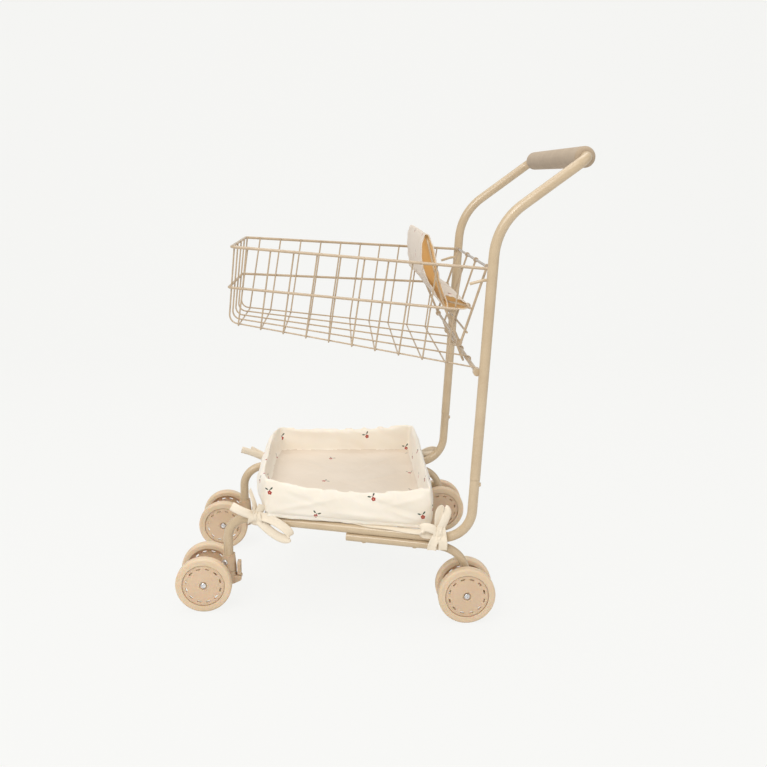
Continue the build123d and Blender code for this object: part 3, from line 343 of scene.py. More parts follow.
BEIGE = (0.610, 0.475, 0.310)
BEIGE_DEEP = (0.565, 0.430, 0.275)
tube_paint = powder_coat("beige_tube_paint", BEIGE, BEIGE_DEEP, 900, 0.29)
wire_paint = powder_coat("beige_wire_paint", (0.545, 0.415, 0.275), (0.48, 0.36, 0.235), 1300, 0.30)
rod_paint = powder_coat("grey_rod_paint", (0.42, 0.37, 0.33), (0.37, 0.32, 0.28), 1300, 0.30)
dress(tube_paint, "push_handle", "rear_leg_left", "rear_leg_right", "frame_tube_left", "frame_tube_right",
      "cross_bars", "stop_arms", "cross_rod_lugs", "snap_button_left", "snap_button_right", "leg_rivets",
      "joint_spigots")
dress(wire_paint, "basket_rim", "basket_mid_ring", "basket_u_wires", "basket_l_wires", "cross_rod",
      "gate_hangers", "gate_eyelets", "gate_cross_wires", "gate_foot_loops", "seat_back_frame",
      "seat_base_frame")
dress(rod_paint, "top_rod")

# %% [markdown]
# ### Foam grip
# The sleeve on the handle is closed-cell foam. Its skin is matt and covered in tiny cells, which a Voronoi
# texture gives better than noise: the distance to each cell's middle makes pits under a millimetre wide.

# %% Foam grip
foam = Finish("grip_foam_skin", (0.46, 0.35, 0.235), 0.82, Sheen_Weight=0.15, Sheen_Roughness=0.6)
cells = foam.add("TexVoronoi", Scale=1100.0)
foam.join(foam.coords(), cells.inputs["Vector"])
foam.color(foam.blend(foam.between(foam.noise(60, 3), 0.3, 0.7), (0.47, 0.36, 0.245), (0.42, 0.315, 0.21)))
broad = foam.math("MULTIPLY", foam.noise(260), 0.6)
foam.bump(foam.math("ADD", cells.outputs["Distance"], broad), 0.00025, 0.6)
dress(foam.material, "handle_grip")

# %% [markdown]
# ### Moulded plastic
# Wheels and caster housings are tinted plastic, a little translucent, so light that enters a thin edge comes
# back warmer. Subsurface scattering with a reddish radius gives that glow in the slots. A wheel is one solid
# in two copies of one plastic, a darker disc with painted shade and a paler tyre with painted light, so its
# faces are sorted by their distance from the axle. The housings are spark-eroded: a finer, stronger grain than
# the wheels.

# %% Moulded plastic
def moulded(name, color, deep, grain, depth, roughness):
    """Satin plastic with a slight glow, fine grain bump and a broad shade change."""
    f = Finish(name, color, roughness, Subsurface_Weight=0.28, Subsurface_Scale=0.006, Specular_IOR_Level=0.4)
    f.shader.inputs["Subsurface Radius"].default_value = (1.0, 0.50, 0.22)
    f.color(f.blend(f.between(f.noise(26, 3), 0.35, 0.7), color, deep))
    texture = f.noise(grain, 2)
    f.rough(f.between(texture, 0.3, 0.7, roughness - 0.05, roughness + 0.07))
    f.bump(texture, depth, 0.6)
    return f.material


TYRE_R = 0.0262


def fit_wheel(name, disc, tyre):
    """Disc material on the faces nearer to the wheel's own axle than TYRE_R, tyre material on the others."""
    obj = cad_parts[name]
    obj.data.materials.clear()
    for material in (disc, tyre):
        obj.data.materials.append(material)
    co = vectors(obj.data.vertices, "co")
    axle = (co.min(axis=0) + co.max(axis=0)) / 2
    away = np.hypot(*(vectors(obj.data.polygons, "center") - axle).T[[0, 2]])
    obj.data.polygons.foreach_set("material_index", (away > TYRE_R).astype(int))


# Disc and tyre are one plastic in two copies: painted shade darkens the disc and painted light brightens the
# tyre.
disc_shaded_plastic = moulded("wheel_disc_painted_shade", (0.685, 0.515, 0.355), (0.645, 0.475, 0.320),
                       1400, 0.00005, 0.36)
tyre_lit_plastic = moulded("wheel_tyre_painted_light", (0.73, 0.575, 0.405), (0.69, 0.535, 0.365), 1400, 0.00005, 0.40)
housing_plastic = moulded("housing_plastic", (0.62, 0.46, 0.31), (0.57, 0.42, 0.28), 2200, 0.0001, 0.5)
for wheel in [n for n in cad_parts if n.startswith("wheel_")]:
    fit_wheel(wheel, disc_shaded_plastic, tyre_lit_plastic)
dress(housing_plastic, "caster_collar_left", "caster_collar_right", "caster_fork_left", "caster_fork_right",
      "lock_lever_left", "lock_lever_right")

# %% [markdown]
# ### Zinc plate
# Screws and axles are zinc-plated steel: a metal with a cool tint and a faint crystalline mottling that
# changes its roughness from spot to spot.

# %% Zinc plate
zinc = Finish("zinc_plate", (0.75, 0.75, 0.76), 0.25, Metallic=1.0)
spots = zinc.add("TexVoronoi", Scale=700.0)
zinc.join(zinc.coords(), spots.inputs["Vector"])
zinc.rough(zinc.between(spots.outputs["Distance"], 0.0, 0.8, 0.2, 0.42))
zinc.color(zinc.blend(zinc.between(zinc.noise(300), 0.35, 0.65), (0.80, 0.80, 0.81), (0.68, 0.68, 0.68)))
zinc.bump(zinc.noise(1800), 0.00003, 0.5)
dress(zinc.material, "rear_axles", "rear_axle_screws", "collar_screws", "caster_pivots", "front_axle_left",
      "front_axle_right", "front_screws_left", "front_screws_right")

# %% [markdown]
# ### Printed cotton
# The cloth is cream cotton with a small scattered sprig: a five-petal red blossom and two dark leaves. An
# image could carry the print, but a sprig is only a few discs and ovals, so it is worked out in the shader. The
# UV map is in metres. It is cut into cells, every other column drops by half a cell, and each cell shifts and
# turns its sprig by its own random numbers, which keeps the print from lining up. Threads are two fine waves at
# right angles. The lining has a weak painted glow: an emission that stands in for the light thin cotton lets
# through.

# %% Printed cotton
THREAD = 0.00062
JITTER = 0.15
SPRIG_SIZE = 1.45
LEAF_GREEN = (0.035, 0.055, 0.030)
PETAL_RED = (0.40, 0.030, 0.028)
EYE_YELLOW = (0.75, 0.55, 0.30)


def printed_cotton(name, base, shade, cell=0.060, printed=True, glow=0.0):
    """Cotton: base to shade by a soft noise, sprigs in half-drop cells, thread waves and slubs as bump."""
    f = Finish(name, base, 0.88, Sheen_Weight=0.25, Sheen_Roughness=0.5, Specular_IOR_Level=0.25)
    uv = f.add("UVMap", uv_map="cloth").outputs["UV"]
    split = f.add("SeparateXYZ")
    f.join(uv, split.inputs[0])
    u, v = split.outputs["X"], split.outputs["Y"]
    cloth_color = f.blend(f.between(f.noise(22, 3), 0.3, 0.75), base, shade)
    if printed:
        cloth_color = add_sprigs(f, u, v, cell, cloth_color)
    f.color(cloth_color)
    threads = [f.math("SINE", f.math("MULTIPLY", along, 2 * math.pi / THREAD)) for along in (u, v)]
    weave = f.math("MULTIPLY", f.math("ADD", *threads), 0.25)
    slub = f.math("MULTIPLY", f.noise(420, 4), 1.4)
    f.bump(f.math("ADD", weave, slub), 0.00012, 0.7)
    if glow:
        f.shader.inputs["Subsurface Weight"].default_value = glow
        f.shader.inputs["Subsurface Scale"].default_value = 0.003
        f.shader.inputs["Subsurface Radius"].default_value = (1.0, 0.7, 0.4)
    return f.material


def add_sprigs(f, u, v, cell, ground):
    """Colour ground with a red blossom and two leaves in every half-drop cell of the given size. Random
    numbers for each cell turn the sprig and shift it by up to JITTER cells each way."""
    column_pos = f.math("DIVIDE", u, cell)
    column = f.math("FLOOR", column_pos)
    drop = f.math("MULTIPLY", f.math("MODULO", f.math("ABSOLUTE", column), 2.0), 0.5)
    row_pos = f.math("ADD", f.math("DIVIDE", v, cell), drop)
    row = f.math("FLOOR", row_pos)
    x = f.math("SUBTRACT", f.math("SUBTRACT", column_pos, column), 0.5)
    y = f.math("SUBTRACT", f.math("SUBTRACT", row_pos, row), 0.5)
    cell_id = f.add("CombineXYZ")
    f.join(column, cell_id.inputs[0])
    f.join(row, cell_id.inputs[1])
    dice = f.add("TexWhiteNoise", noise_dimensions="2D")
    f.join(cell_id.outputs[0], dice.inputs["Vector"])
    angle = f.between(dice.outputs["Value"], 0.0, 1.0, -1.1, 1.1)
    tint = f.add("SeparateColor")
    f.join(dice.outputs["Color"], tint.inputs[0])
    x = f.math("ADD", x, f.between(tint.outputs["Red"], 0.0, 1.0, -JITTER, JITTER))
    y = f.math("ADD", y, f.between(tint.outputs["Green"], 0.0, 1.0, -JITTER, JITTER))
    place = f.add("CombineXYZ")
    f.join(f.math("MULTIPLY", x, cell / SPRIG_SIZE), place.inputs[0])
    f.join(f.math("MULTIPLY", y, cell / SPRIG_SIZE), place.inputs[1])
    turned = f.add("VectorRotate", rotation_type="Z_AXIS")
    f.join(place.outputs[0], turned.inputs["Vector"])
    f.join(angle, turned.inputs["Angle"])
    local = turned.outputs[0]

    def spot(center, radius, stretch=1.0, tilt=0.0):
        """1 inside an oval: distance to center, with one axis shrunk by stretch after a turn by tilt."""
        mapping = f.add("Mapping", vector_type="TEXTURE")
        mapping.inputs["Location"].default_value = (*center, 0)
        mapping.inputs["Rotation"].default_value = (0, 0, tilt)
        mapping.inputs["Scale"].default_value = (radius * stretch, radius, 1)
        f.join(local, mapping.inputs["Vector"])
        length = f.add("VectorMath", operation="LENGTH")
        f.join(mapping.outputs[0], length.inputs[0])
        return f.between(length.outputs["Value"], 0.85, 1.1, 1.0, 0.0)

    petals = None
    for a in [2 * math.pi * k / 5 for k in range(5)]:
        petal = spot((0.00105 * math.cos(a), 0.00105 * math.sin(a) - 0.0013), 0.00082)
        petals = petal if petals is None else f.math("MAXIMUM", petals, petal)
    leaf_a = spot((0.0023, 0.0018), 0.00062, 2.5, 0.55)
    leaf_b = spot((-0.0018, 0.0022), 0.00062, 2.3, 2.45)
    stem = spot((0.0002, 0.0007), 0.00026, 4.0, 1.45)
    leaves = f.math("MAXIMUM", f.math("MAXIMUM", leaf_a, leaf_b), stem)
    eye = spot((0.0, -0.0013), 0.00042)
    printed = f.blend(petals, f.blend(leaves, ground, LEAF_GREEN), PETAL_RED)
    return f.blend(eye, printed, EYE_YELLOW)


CREAM = (0.915, 0.850, 0.745)
CREAM_SHADE = (0.880, 0.800, 0.680)
tray_cotton = printed_cotton("tray_cotton", CREAM, CREAM_SHADE, glow=0.12)
# Painted shade: the floor's cotton is darker because less light reaches deep inside the tray.
floor_shaded_cotton = printed_cotton("tray_floor_painted_shade", (0.775, 0.675, 0.56), (0.735, 0.63, 0.51), cell=0.100)
seat_cotton = printed_cotton("seat_cotton", (0.745, 0.645, 0.54), (0.71, 0.605, 0.495))
lining_cotton = printed_cotton("lining_cotton", (0.88, 0.75, 0.54), (0.74, 0.57, 0.34), printed=False)
lining_shader = lining_cotton.node_tree.nodes["Principled BSDF"]
# Painted glow: this emission stands in for light that shines through the thin lining cotton.
lining_shader.inputs["Emission Color"].default_value = (0.62, 0.44, 0.22, 1)
lining_shader.inputs["Emission Strength"].default_value = 0.27
ribbon_cotton = printed_cotton("ribbon_cotton", (0.90, 0.80, 0.655), (0.84, 0.725, 0.56), printed=False)
print("cotton finishes ready")

# %% [markdown]
# ## The padded tray
# The tray is a cotton box with a thin filling, tied to the lower rails. Its walls are soft: the long ones sag
# between the corners, and the front one leans outwards. Sculpting this by hand would be slow, so the start is
# one closed surface, a wall profile carried round a rounded outline, and a short cloth simulation with a little
# air pressure then fills it and lets the walls find their own soft shape.

# %% Tray sizes
RAIL_FRONT = (-0.181, 0.1062, 0.1115)
RAIL_HEEL = (0.109, 0.1672, 0.0993)
RAIL_R = 0.00575
FRONT_X, REAR_X = -0.1375, 0.0674
HALF_FRONT, HALF_REAR = 0.1307, 0.1600
TOP_FRONT, TOP_REAR = 0.1665, 0.1630
# Sag of the top edge along the left, rear, right and front wall, and the drop and reach of the rear corners
EDGE_SAG = (0.0075, 0.0010, 0.0040, 0.0045)
CORNER_DROP, CORNER_REACH = 0.0055, 0.009
# Outward bow of the other walls at their top, and of the front one: at its foot, its rise and its swell
WALL_BOW = 0.0010
FRONT_BOW = (0.0035, 0.0025, 0.0070)
# Rings with an inset below INNER are the wall's outside and swell fully, the others by INNER_SWELL
INNER, INNER_SWELL = 0.0040, 0.6


def rail_middle(x):
    """Middle of the rail tube at x, as half width and height: straight from the front corner to the heel."""
    share = (x - RAIL_FRONT[0]) / (RAIL_HEEL[0] - RAIL_FRONT[0])
    return [a + (b - a) * share for a, b in zip(RAIL_FRONT[1:], RAIL_HEEL[1:])]


def rail_line(x):
    """Height of the rail tube's top at x."""
    return rail_middle(x)[1] + RAIL_R


def wall_half(x):
    """Half width of the tray at x, outside its walls."""
    return HALF_FRONT + (HALF_REAR - HALF_FRONT) * ((x - FRONT_X) / (REAR_X - FRONT_X))


def tray_outline(inset, bow, n_side=44, n_corner=10, corner=0.007):
    """Rounded outline seen from above, as (n, 2) points, and for each point its side and its share along it.
    Straight sides run between corners, each corner is a parabola through its two tangent points, and side k
    bows outwards by bow[k] times 1 - (2s - 1)^4."""
    x0, x1 = FRONT_X + inset, REAR_X - inset
    half0, half1 = wall_half(x0) - inset, wall_half(x1) - inset
    corners = np.array([(x0, -half0), (x1, -half1), (x1, half1), (x0, half0)])
    nxt = np.roll(corners, -1, axis=0)
    along = (nxt - corners) / np.linalg.norm(nxt - corners, axis=1, keepdims=True)
    radius = max(corner - inset, 0.003)
    start, end = corners + along * radius, nxt - along * radius
    s = np.linspace(0, 1, n_side)[None, :, None]
    outward = np.stack([along[:, 1], -along[:, 0]], axis=1)
    sides = start[:, None] * (1 - s) + end[:, None] * s
    sides = sides + outward[:, None] * (1 - (2 * s - 1) ** 4) * np.array(bow)[:, None, None]
    c = np.linspace(0, 1, n_corner + 2)[None, 1:-1, None]
    after = np.roll(start, -1, axis=0)
    turns = end[:, None] * (1 - c) ** 2 + nxt[:, None] * 2 * c * (1 - c) + after[:, None] * c ** 2
    points = np.concatenate([sides, turns], axis=1).reshape(-1, 2)
    on_side = np.concatenate([s[0, :, 0], np.ones(n_corner)])
    return points, np.repeat(np.arange(4), n_side + n_corner), np.tile(on_side, 4)


def tray_edge(xy, side, s):
    """Height of the top edge: a straight line between the corners less a flat-bottomed sag, 1 - |2s - 1|^3,
    and less a small bell-shaped drop at the rear corners."""
    corner_line = TOP_FRONT + (TOP_REAR - TOP_FRONT) * (xy[:, 0] - FRONT_X) / (REAR_X - FRONT_X)
    sag = np.array(EDGE_SAG)[side]
    away = np.hypot(xy[:, 0] - REAR_X, np.abs(xy[:, 1]) - HALF_REAR)
    return corner_line - sag * (1 - np.abs(2 * s - 1) ** 3) - CORNER_DROP * np.exp(-(away / CORNER_REACH) ** 2)


print("rail top at the tray's ends", round(rail_line(FRONT_X), 4), round(rail_line(REAR_X), 4))

# %% Tray surface before the air goes in
# One row per ring: inset, shrink towards the middle, share of the wall's height, height above the rail
RINGS = [
    (0.0050, 0.02, 0.0, 0.0003), (0.0050, 0.35, 0.0, 0.0003), (0.0050, 0.70, 0.0, 0.0003),
    (0.0050, 0.93, 0.0, 0.0003), (0.0042, 1.00, 0.0, 0.0008), (0.0032, 1.00, 0.0, 0.0045),
    (0.0030, 1.00, 0.15, 0.0), (0.0022, 1.00, 0.35, 0.0), (0.0014, 1.00, 0.60, 0.0),
    (0.0010, 1.00, 0.85, 0.0), (0.0014, 1.00, 0.97, 0.0), (0.0030, 1.00, 1.00, 0.0),
    (0.0048, 1.00, 0.97, 0.0), (0.0056, 1.00, 0.85, 0.0), (0.0070, 1.00, 0.60, 0.0),
    (0.0078, 1.00, 0.40, 0.0), (0.0085, 1.00, 0.0, 0.0125), (0.0105, 0.98, 0.0, 0.0105),
    (0.0105, 0.90, 0.0, 0.0105), (0.0105, 0.65, 0.0, 0.0108), (0.0105, 0.35, 0.0, 0.0110),
    (0.0105, 0.02, 0.0, 0.0110),
]


def tray_rings():
    """(rings, n, 3) points: each ring is the outline at its inset, shrunk to the middle, at its own height.
    The front wall bows by its foot value, a rise with the share t of its height, and a swell 4t(1 - t)."""
    foot, rise, bulge = FRONT_BOW
    middle = np.array([(FRONT_X + REAR_X) / 2, 0.0])
    rows = []
    for inset, shrink, share, lift in RINGS:
        swell = 4 * share * (1 - share)
        front = foot + rise * share + bulge * swell * (1 if inset < INNER else INNER_SWELL)
        outline, side, s = tray_outline(inset, (WALL_BOW * share,) * 3 + (front,))
        xy = middle + (outline - middle) * shrink
        low = rail_line(xy[:, 0])
        z = low + lift + share * (tray_edge(xy, side, s) - low)
        rows.append(np.column_stack([xy, z]))
    return np.array(rows)


rings = tray_rings()
n_rings, n_round = rings.shape[:2]
quads = grid_faces(n_rings, n_round, False, True)
caps = [list(range(n_round))[::-1], list(range((n_rings - 1) * n_round, n_rings * n_round))]
tray = mesh_object("tray_cloth", rings.reshape(-1, 3), list(quads[:, ::-1]) + caps)
print("tray start", len(tray.data.vertices), "points")


# %% Cloth simulation
VOXEL = 0.0032
AIR_PRESSURE = 3.0
MOST_SHIFT = 0.0022
HELD_HEIGHT = 0.0035
FRAMES = 20


def apply_modifiers(obj):
    """Bakes the modifier stack into the mesh."""
    graph = bpy.context.evaluated_depsgraph_get()
    baked = bpy.data.meshes.new_from_object(obj.evaluated_get(graph))
    old = obj.data
    obj.modifiers.clear()
    obj.data = baked
    bpy.data.meshes.remove(old)


def puff(obj):
    """Voxel remesh, then a cloth run under air pressure with no gravity. A point moves MOST_SHIFT at most,
    and points less than HELD_HEIGHT above the rail's top are pinned."""
    remesh = obj.modifiers.new("voxels", "REMESH")
    remesh.mode = "VOXEL"
    remesh.voxel_size = VOXEL
    apply_modifiers(obj)
    start = vectors(obj.data.vertices, "co")
    cloth = obj.modifiers.new("air", "CLOTH")
    settings = cloth.settings
    settings.quality = 6
    settings.mass = 0.15
    settings.tension_stiffness = settings.compression_stiffness = 12
    settings.shear_stiffness = 4
    settings.bending_stiffness = 0.4
    settings.use_pressure = True
    settings.uniform_pressure_force = AIR_PRESSURE
    settings.effector_weights.gravity = 0
    cloth.collision_settings.use_collision = False
    cloth.point_cache.frame_start = 1
    cloth.point_cache.frame_end = FRAMES
    group = obj.vertex_groups.new(name="held")
    low = start[:, 2] < rail_line(start[:, 0]) + HELD_HEIGHT
    group.add(np.flatnonzero(low).tolist(), 1.0, "REPLACE")
    settings.vertex_group_mass = "held"
    scene = bpy.context.scene
    scene.frame_start, scene.frame_end = 1, FRAMES
    for frame_number in range(1, FRAMES + 1):
        scene.frame_set(frame_number)
    graph = bpy.context.evaluated_depsgraph_get()
    shift = vectors(obj.evaluated_get(graph).data.vertices, "co") - start
    length = np.linalg.norm(shift, axis=1, keepdims=True)
    shift = shift * np.minimum(1, MOST_SHIFT / np.maximum(length, 1e-9))
    obj.modifiers.clear()
    obj.vertex_groups.clear()
    obj.data.vertices.foreach_set("co", (start + shift).reshape(-1))
    obj.data.update()
    scene.frame_set(1)
    print(obj.name, "moved up to", round(float(length.max() * 1000), 1), "mm, kept", MOST_SHIFT * 1000)


puff(tray)
finer = tray.modifiers.new("smooth", "SUBSURF")
finer.levels = finer.render_levels = 1
apply_modifiers(tray)
print("tray now", len(tray.data.vertices), "points")

# %% [markdown]
# A simulation at this voxel size gives the broad shape but no small wrinkles. Cotton shows drag lines:
# shallow ridges that run from a corner or a seam into the slack part. Each one is added as a soft ridge along a
# line, pushed out along the surface normal, and the seam at the foot of the wall is a soft groove.

# %% Wrinkles and the seam groove
DEEPER, NARROWER = 1.3, 0.8
GROOVE_HEIGHT, GROOVE_WIDTH, GROOVE_DEPTH = 0.0062, 0.0016, 0.0016


def ridge(co, start, end, width):
    """1 on the line from start to end, falling off as a bell of the given width, and fading at both ends."""
    a, b = np.array(start), np.array(end)
    t = np.clip((co - a) @ (b - a) / ((b - a) @ (b - a)), 0, 1)
    distance = np.linalg.norm(co - (a + t[:, None] * (b - a)), axis=1)
    return np.exp(-(distance / width) ** 2) * np.sin(np.pi * (0.08 + 0.84 * t)) ** 0.7


def tray_wrinkles(co):
    """Sum of drag lines on the walls and floor, plus slow waves whose crests lean with height. A line is its
    start, end, width and height, and DEEPER and NARROWER scale all of them."""
    lines = []
    for side in (-1, 1):
        wall = lambda x, z: (x, side * wall_half(x), z)
        lines += [
            (wall(-0.118, 0.128), wall(-0.050, 0.144), 0.0040, 0.0013),
            (wall(-0.112, 0.150), wall(-0.060, 0.133), 0.0045, -0.0010),
            (wall(-0.060, 0.128), wall(0.020, 0.121), 0.0042, 0.0012),
            (wall(-0.020, 0.146), wall(0.050, 0.128), 0.0050, -0.0012),
            (wall(0.055, 0.150), wall(0.010, 0.136), 0.0040, 0.0011),
            (wall(0.060, 0.118), wall(0.015, 0.131), 0.0038, 0.0010),
        ]
    for y0, y1, depth in ((-0.10, -0.03, 0.0013), (-0.05, 0.045, -0.0012), (0.02, 0.10, 0.0012)):
        lines.append(((FRONT_X - 0.006, y0, 0.125), (FRONT_X - 0.010, y1, 0.150), 0.0045, depth))
        lines.append(((REAR_X + 0.002, y1, 0.125), (REAR_X + 0.003, y0, 0.148), 0.0045, -depth))
    for x0, y0, x1, y1 in ((-0.10, -0.09, -0.03, -0.03), (0.04, -0.12, -0.01, -0.05),
                           (-0.02, 0.04, 0.04, 0.12), (-0.10, 0.09, -0.05, 0.02), (-0.02, -0.02, 0.03, 0.03)):
        lines.append(((x0, y0, 0.122), (x1, y1, 0.121), 0.006, 0.0011))
    total = sum(DEEPER * depth * ridge(co, start, end, NARROWER * width) for start, end, width, depth in lines)
    x, y, z = co.T
    waves = np.sin(58 * x + 31 * y + 90 * z) * np.sin(41 * y - 66 * z + 1.0) * 0.0007
    creases = np.sin(170 * x + 95 * y + 210 * z + 2 * np.sin(40 * x))
    creases = creases * np.sin(120 * y + 60 * x - 150 * z) * 0.00035
    return total + waves + creases


co = vectors(tray.data.vertices, "co")
lift = co[:, 2] - rail_line(co[:, 0])
outside = vectors(tray.data.vertices, "normal")
sideways = 1 - outside[:, 2] ** 2
groove = np.exp(-((lift - GROOVE_HEIGHT) / GROOVE_WIDTH) ** 2) * sideways
co = co + outside * (tray_wrinkles(co) * np.clip(lift / 0.01, 0, 1) - GROOVE_DEPTH * groove)[:, None]
co[:, 2] = np.maximum(co[:, 2], rail_line(co[:, 0]) - 0.0003)
tray.data.vertices.foreach_set("co", co.reshape(-1))
tray.data.polygons.foreach_set("use_smooth", np.ones(len(tray.data.polygons), bool))
tray.data.update()
print("groove depth at most", round(float(groove.max()) * GROOVE_DEPTH * 1000, 2), "mm")

# %% [markdown]
# The print must lie the right way up on every wall, as it does on cut and sewn panels. So the UV map is not
# unwrapped: each face takes its own two axes by the way it faces. The floor reads X and Y, a long wall reads X
# and Z, and an end wall reads Y and Z, all in metres. The floor also has its own, darker cotton, whose darkness
# is painted shade for the dimmer light deep inside the tray. It gets the faces that lie in a flat band above
# the rail and inside the walls.

# %% Panel UVs
FLOOR_BAND = (0.006, 0.0165)
FLOOR_INSET = 0.0085
FLOOR_FRONT = -0.001


def panel_uv(obj):
    """UV per corner from the face normal's largest axis, in metres. Up counts 1.15 times."""
    mesh = obj.data
    face_normal = np.abs(vectors(mesh.polygons, "normal"))
    loops = np.empty(len(mesh.loops), int)
    mesh.loops.foreach_get("vertex_index", loops)
    totals = np.empty(len(mesh.polygons), int)
    mesh.polygons.foreach_get("loop_total", totals)
    axis = np.repeat(np.argmax(face_normal * np.array([1.0, 1.0, 1.15]), axis=1), totals)
    p = vectors(mesh.vertices, "co")[loops]
    u = np.where(axis == 0, p[:, 1] + 0.3, p[:, 0] + 0.4)
    v = np.where(axis == 2, p[:, 1] + 0.6, p[:, 2] + 0.2 * (axis == 0))
    set_uv(obj, np.stack([u, v], axis=1))


panel_uv(tray)
tray.data.materials.clear()
tray.data.materials.append(tray_cotton)
# Faces on the floor take the darker cotton with painted shade.
tray.data.materials.append(floor_shaded_cotton)
fx, fy, fz = vectors(tray.data.polygons, "center").T
on_floor = (fz > rail_line(fx) + FLOOR_BAND[0]) & (fz < rail_line(fx) + FLOOR_BAND[1])
on_floor &= (fx > FRONT_X + FLOOR_FRONT) & (fx < REAR_X - FLOOR_INSET)
on_floor &= np.abs(fy) < wall_half(fx) - FLOOR_INSET
tray.data.polygons.foreach_set("material_index", on_floor.astype(int))
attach(tray, "frame")
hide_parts("tray_walls", "tray_pad", "tray_board")
print("tray box", co.min(axis=0).round(4).tolist(), co.max(axis=0).round(4).tolist())

# %% [markdown]
# ### Hem over the rail
# The base panel of the tray reaches past its walls and lies over each rail. Its edge follows the tube closely,
# so each hem is an arc round the rail's axis, carried along it. It reaches further down towards the rear, and
# waves keep its edge from looking ruled.

# %% Hem over the rail
HEM_START = 142.0
HEM_ANGLE = [(-0.045, 84), (-0.010, 48), (0.052, 25), (0.0655, -4)]


def hem(name, side, n_along=120, n_down=9):
    """Edge of the tray's base panel, lying on the rail: an arc round the tube from HEM_START down to an angle
    that sinks towards the rear, wavering a little, and lifting off the tube towards its free edge."""
    x = np.linspace(HEM_ANGLE[0][0], HEM_ANGLE[-1][0], n_along)[:, None]
    down = np.linspace(0, 1, n_down)[None]
    stations, angles = np.array(HEM_ANGLE).T
    low = np.interp(x, stations, angles) + 5 * np.sin(95 * x + 1.0) * np.sin(38 * x)
    angle = np.radians(HEM_START + (low - HEM_START) * down)
    radius = RAIL_R + 0.0008 + (0.0007 + 0.0004 * np.sin(140 * x)) * down ** 2
    half, middle = rail_middle(x)
    points = np.stack(np.broadcast_arrays(x, -side * (half + radius * np.cos(angle)),
                                          middle + radius * np.sin(angle)), axis=-1)
    faces = grid_faces(n_along, n_down, False, False)
    if side < 0:
        faces = faces[:, ::-1]
    obj = mesh_object(name, points.reshape(-1, 3), list(faces))
    run = np.linalg.norm(np.diff(points, axis=1), axis=-1).sum(axis=1)
    uv = np.stack(np.broadcast_arrays(x + 0.4, run[:, None] * down), axis=-1)
    set_uv(obj, uv.reshape(-1, 2)[faces])
    obj.data.materials.append(ribbon_cotton)
    thicken(obj, 0.0009)
    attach(obj, "frame")


hem("tray_hem_left", 1)
hem("tray_hem_right", -1)
print("hems at the rail, radius", RAIL_R)

# %% [markdown]
# ## Seat sleeves
# The doll's seat is two cotton sleeves pulled over wire frames. A sleeve is a closed outline carried across
# the seat, so it is a natural grid: one parameter runs round the outline and the other from side to side. The
# cloth is slack between the wires, pulls in towards the middle and gathers slightly at its open ends. Inside it
# shows the lining.

# %% Sleeve surface
def closed_spline(points, n):
    """Closed Catmull-Rom curve through the points: each span blends four neighbours with cubic weights."""
    p = np.asarray(points, float)
    t = np.linspace(0, len(p), n, endpoint=False)
    k = t.astype(int)
    f = (t - k)[:, None]
    a, b, c, d = (p[(k + j) % len(p)] for j in (-1, 0, 1, 2))
    square, cube = 2 * a - 5 * b + 4 * c - d, 3 * b - a - 3 * c + d
    return 0.5 * (2 * b + (c - a) * f + square * f ** 2 + cube * f ** 3)


def sleeve(name, outline, half, n_round, slack=0.03, n_across=120, droop=0.0, bellies=()):
    """Outline, given in millimetres, carried from -half to half in Y. It shrinks to its middle by slack times
    1 - (y/half)^4. Soft folds run round it, and gathers pull at its open ends. Its top sinks by about droop
    towards +Y. There its front also moves forwards by bells of the height: an amount, a middle and a spread."""
    loop = closed_spline(np.array(outline) / 1000, n_round)
    middle = loop.mean(axis=0)
    y = np.linspace(-half, half, n_across)
    side = y / half
    angle = np.linspace(0, 2 * np.pi, n_round, endpoint=False)
    shrink = 1 - slack * (1 - side ** 4)
    folds = 0.0007 * np.sin(3 * angle[:, None] + 9 * side[None]) * np.sin(5 * side[None] + angle[:, None])
    pull = 0.0005 * np.cos(14 * angle[:, None]) * np.abs(side[None]) ** 6
    away = loop - middle
    away = away / np.linalg.norm(away, axis=1, keepdims=True)
    xz = middle + (loop - middle)[:, None] * shrink[None, :, None]
    xz = xz + away[:, None] * (folds + pull)[..., None]
    rise = np.clip((xz[..., 1] - middle[1]) / (loop[:, 1].max() - middle[1]), 0, 1)
    far = (side[None] + 1) / 2
    front = np.clip((middle[0] - loop[:, 0]) / 0.008 + 0.5, 0, 1)[:, None]
    for amount, height, spread in bellies:
        xz[..., 0] -= amount * far * front * np.exp(-((xz[..., 1] - height) / spread) ** 2)
    xz[..., 1] -= droop * rise * (0.55 * far + 0.5 * far ** 6)
    sway = 0.0012 * np.sin(2 * angle)[:, None] * np.abs(side[None]) ** 4
    points = np.stack([xz[..., 0], y[None] + sway * np.sign(side)[None], xz[..., 1]], axis=-1)
    faces = grid_faces(n_round, n_across, True, False)
    obj = mesh_object(name, points.reshape(-1, 3), faces)
    length = np.linalg.norm(np.roll(loop, -1, axis=0) - loop, axis=1).sum()
    uv = np.empty((n_round + 1, n_across, 2))
    uv[..., 0] = y[None] + 0.3
    uv[..., 1] = (np.arange(n_round + 1) / n_round * length)[:, None] + 0.1
    set_uv(obj, uv.reshape(-1, 2)[grid_faces(n_round + 1, n_across, False, False)])
    obj.data.materials.append(seat_cotton)
    obj.data.materials.append(lining_cotton)
    cloth = thicken(obj, 0.0011, 1)
    cloth.material_offset = 1
    cloth.material_offset_rim = 0
    print(name, "round", round(length * 1000), "mm, across", round(2000 * half), "mm")
    return obj, length


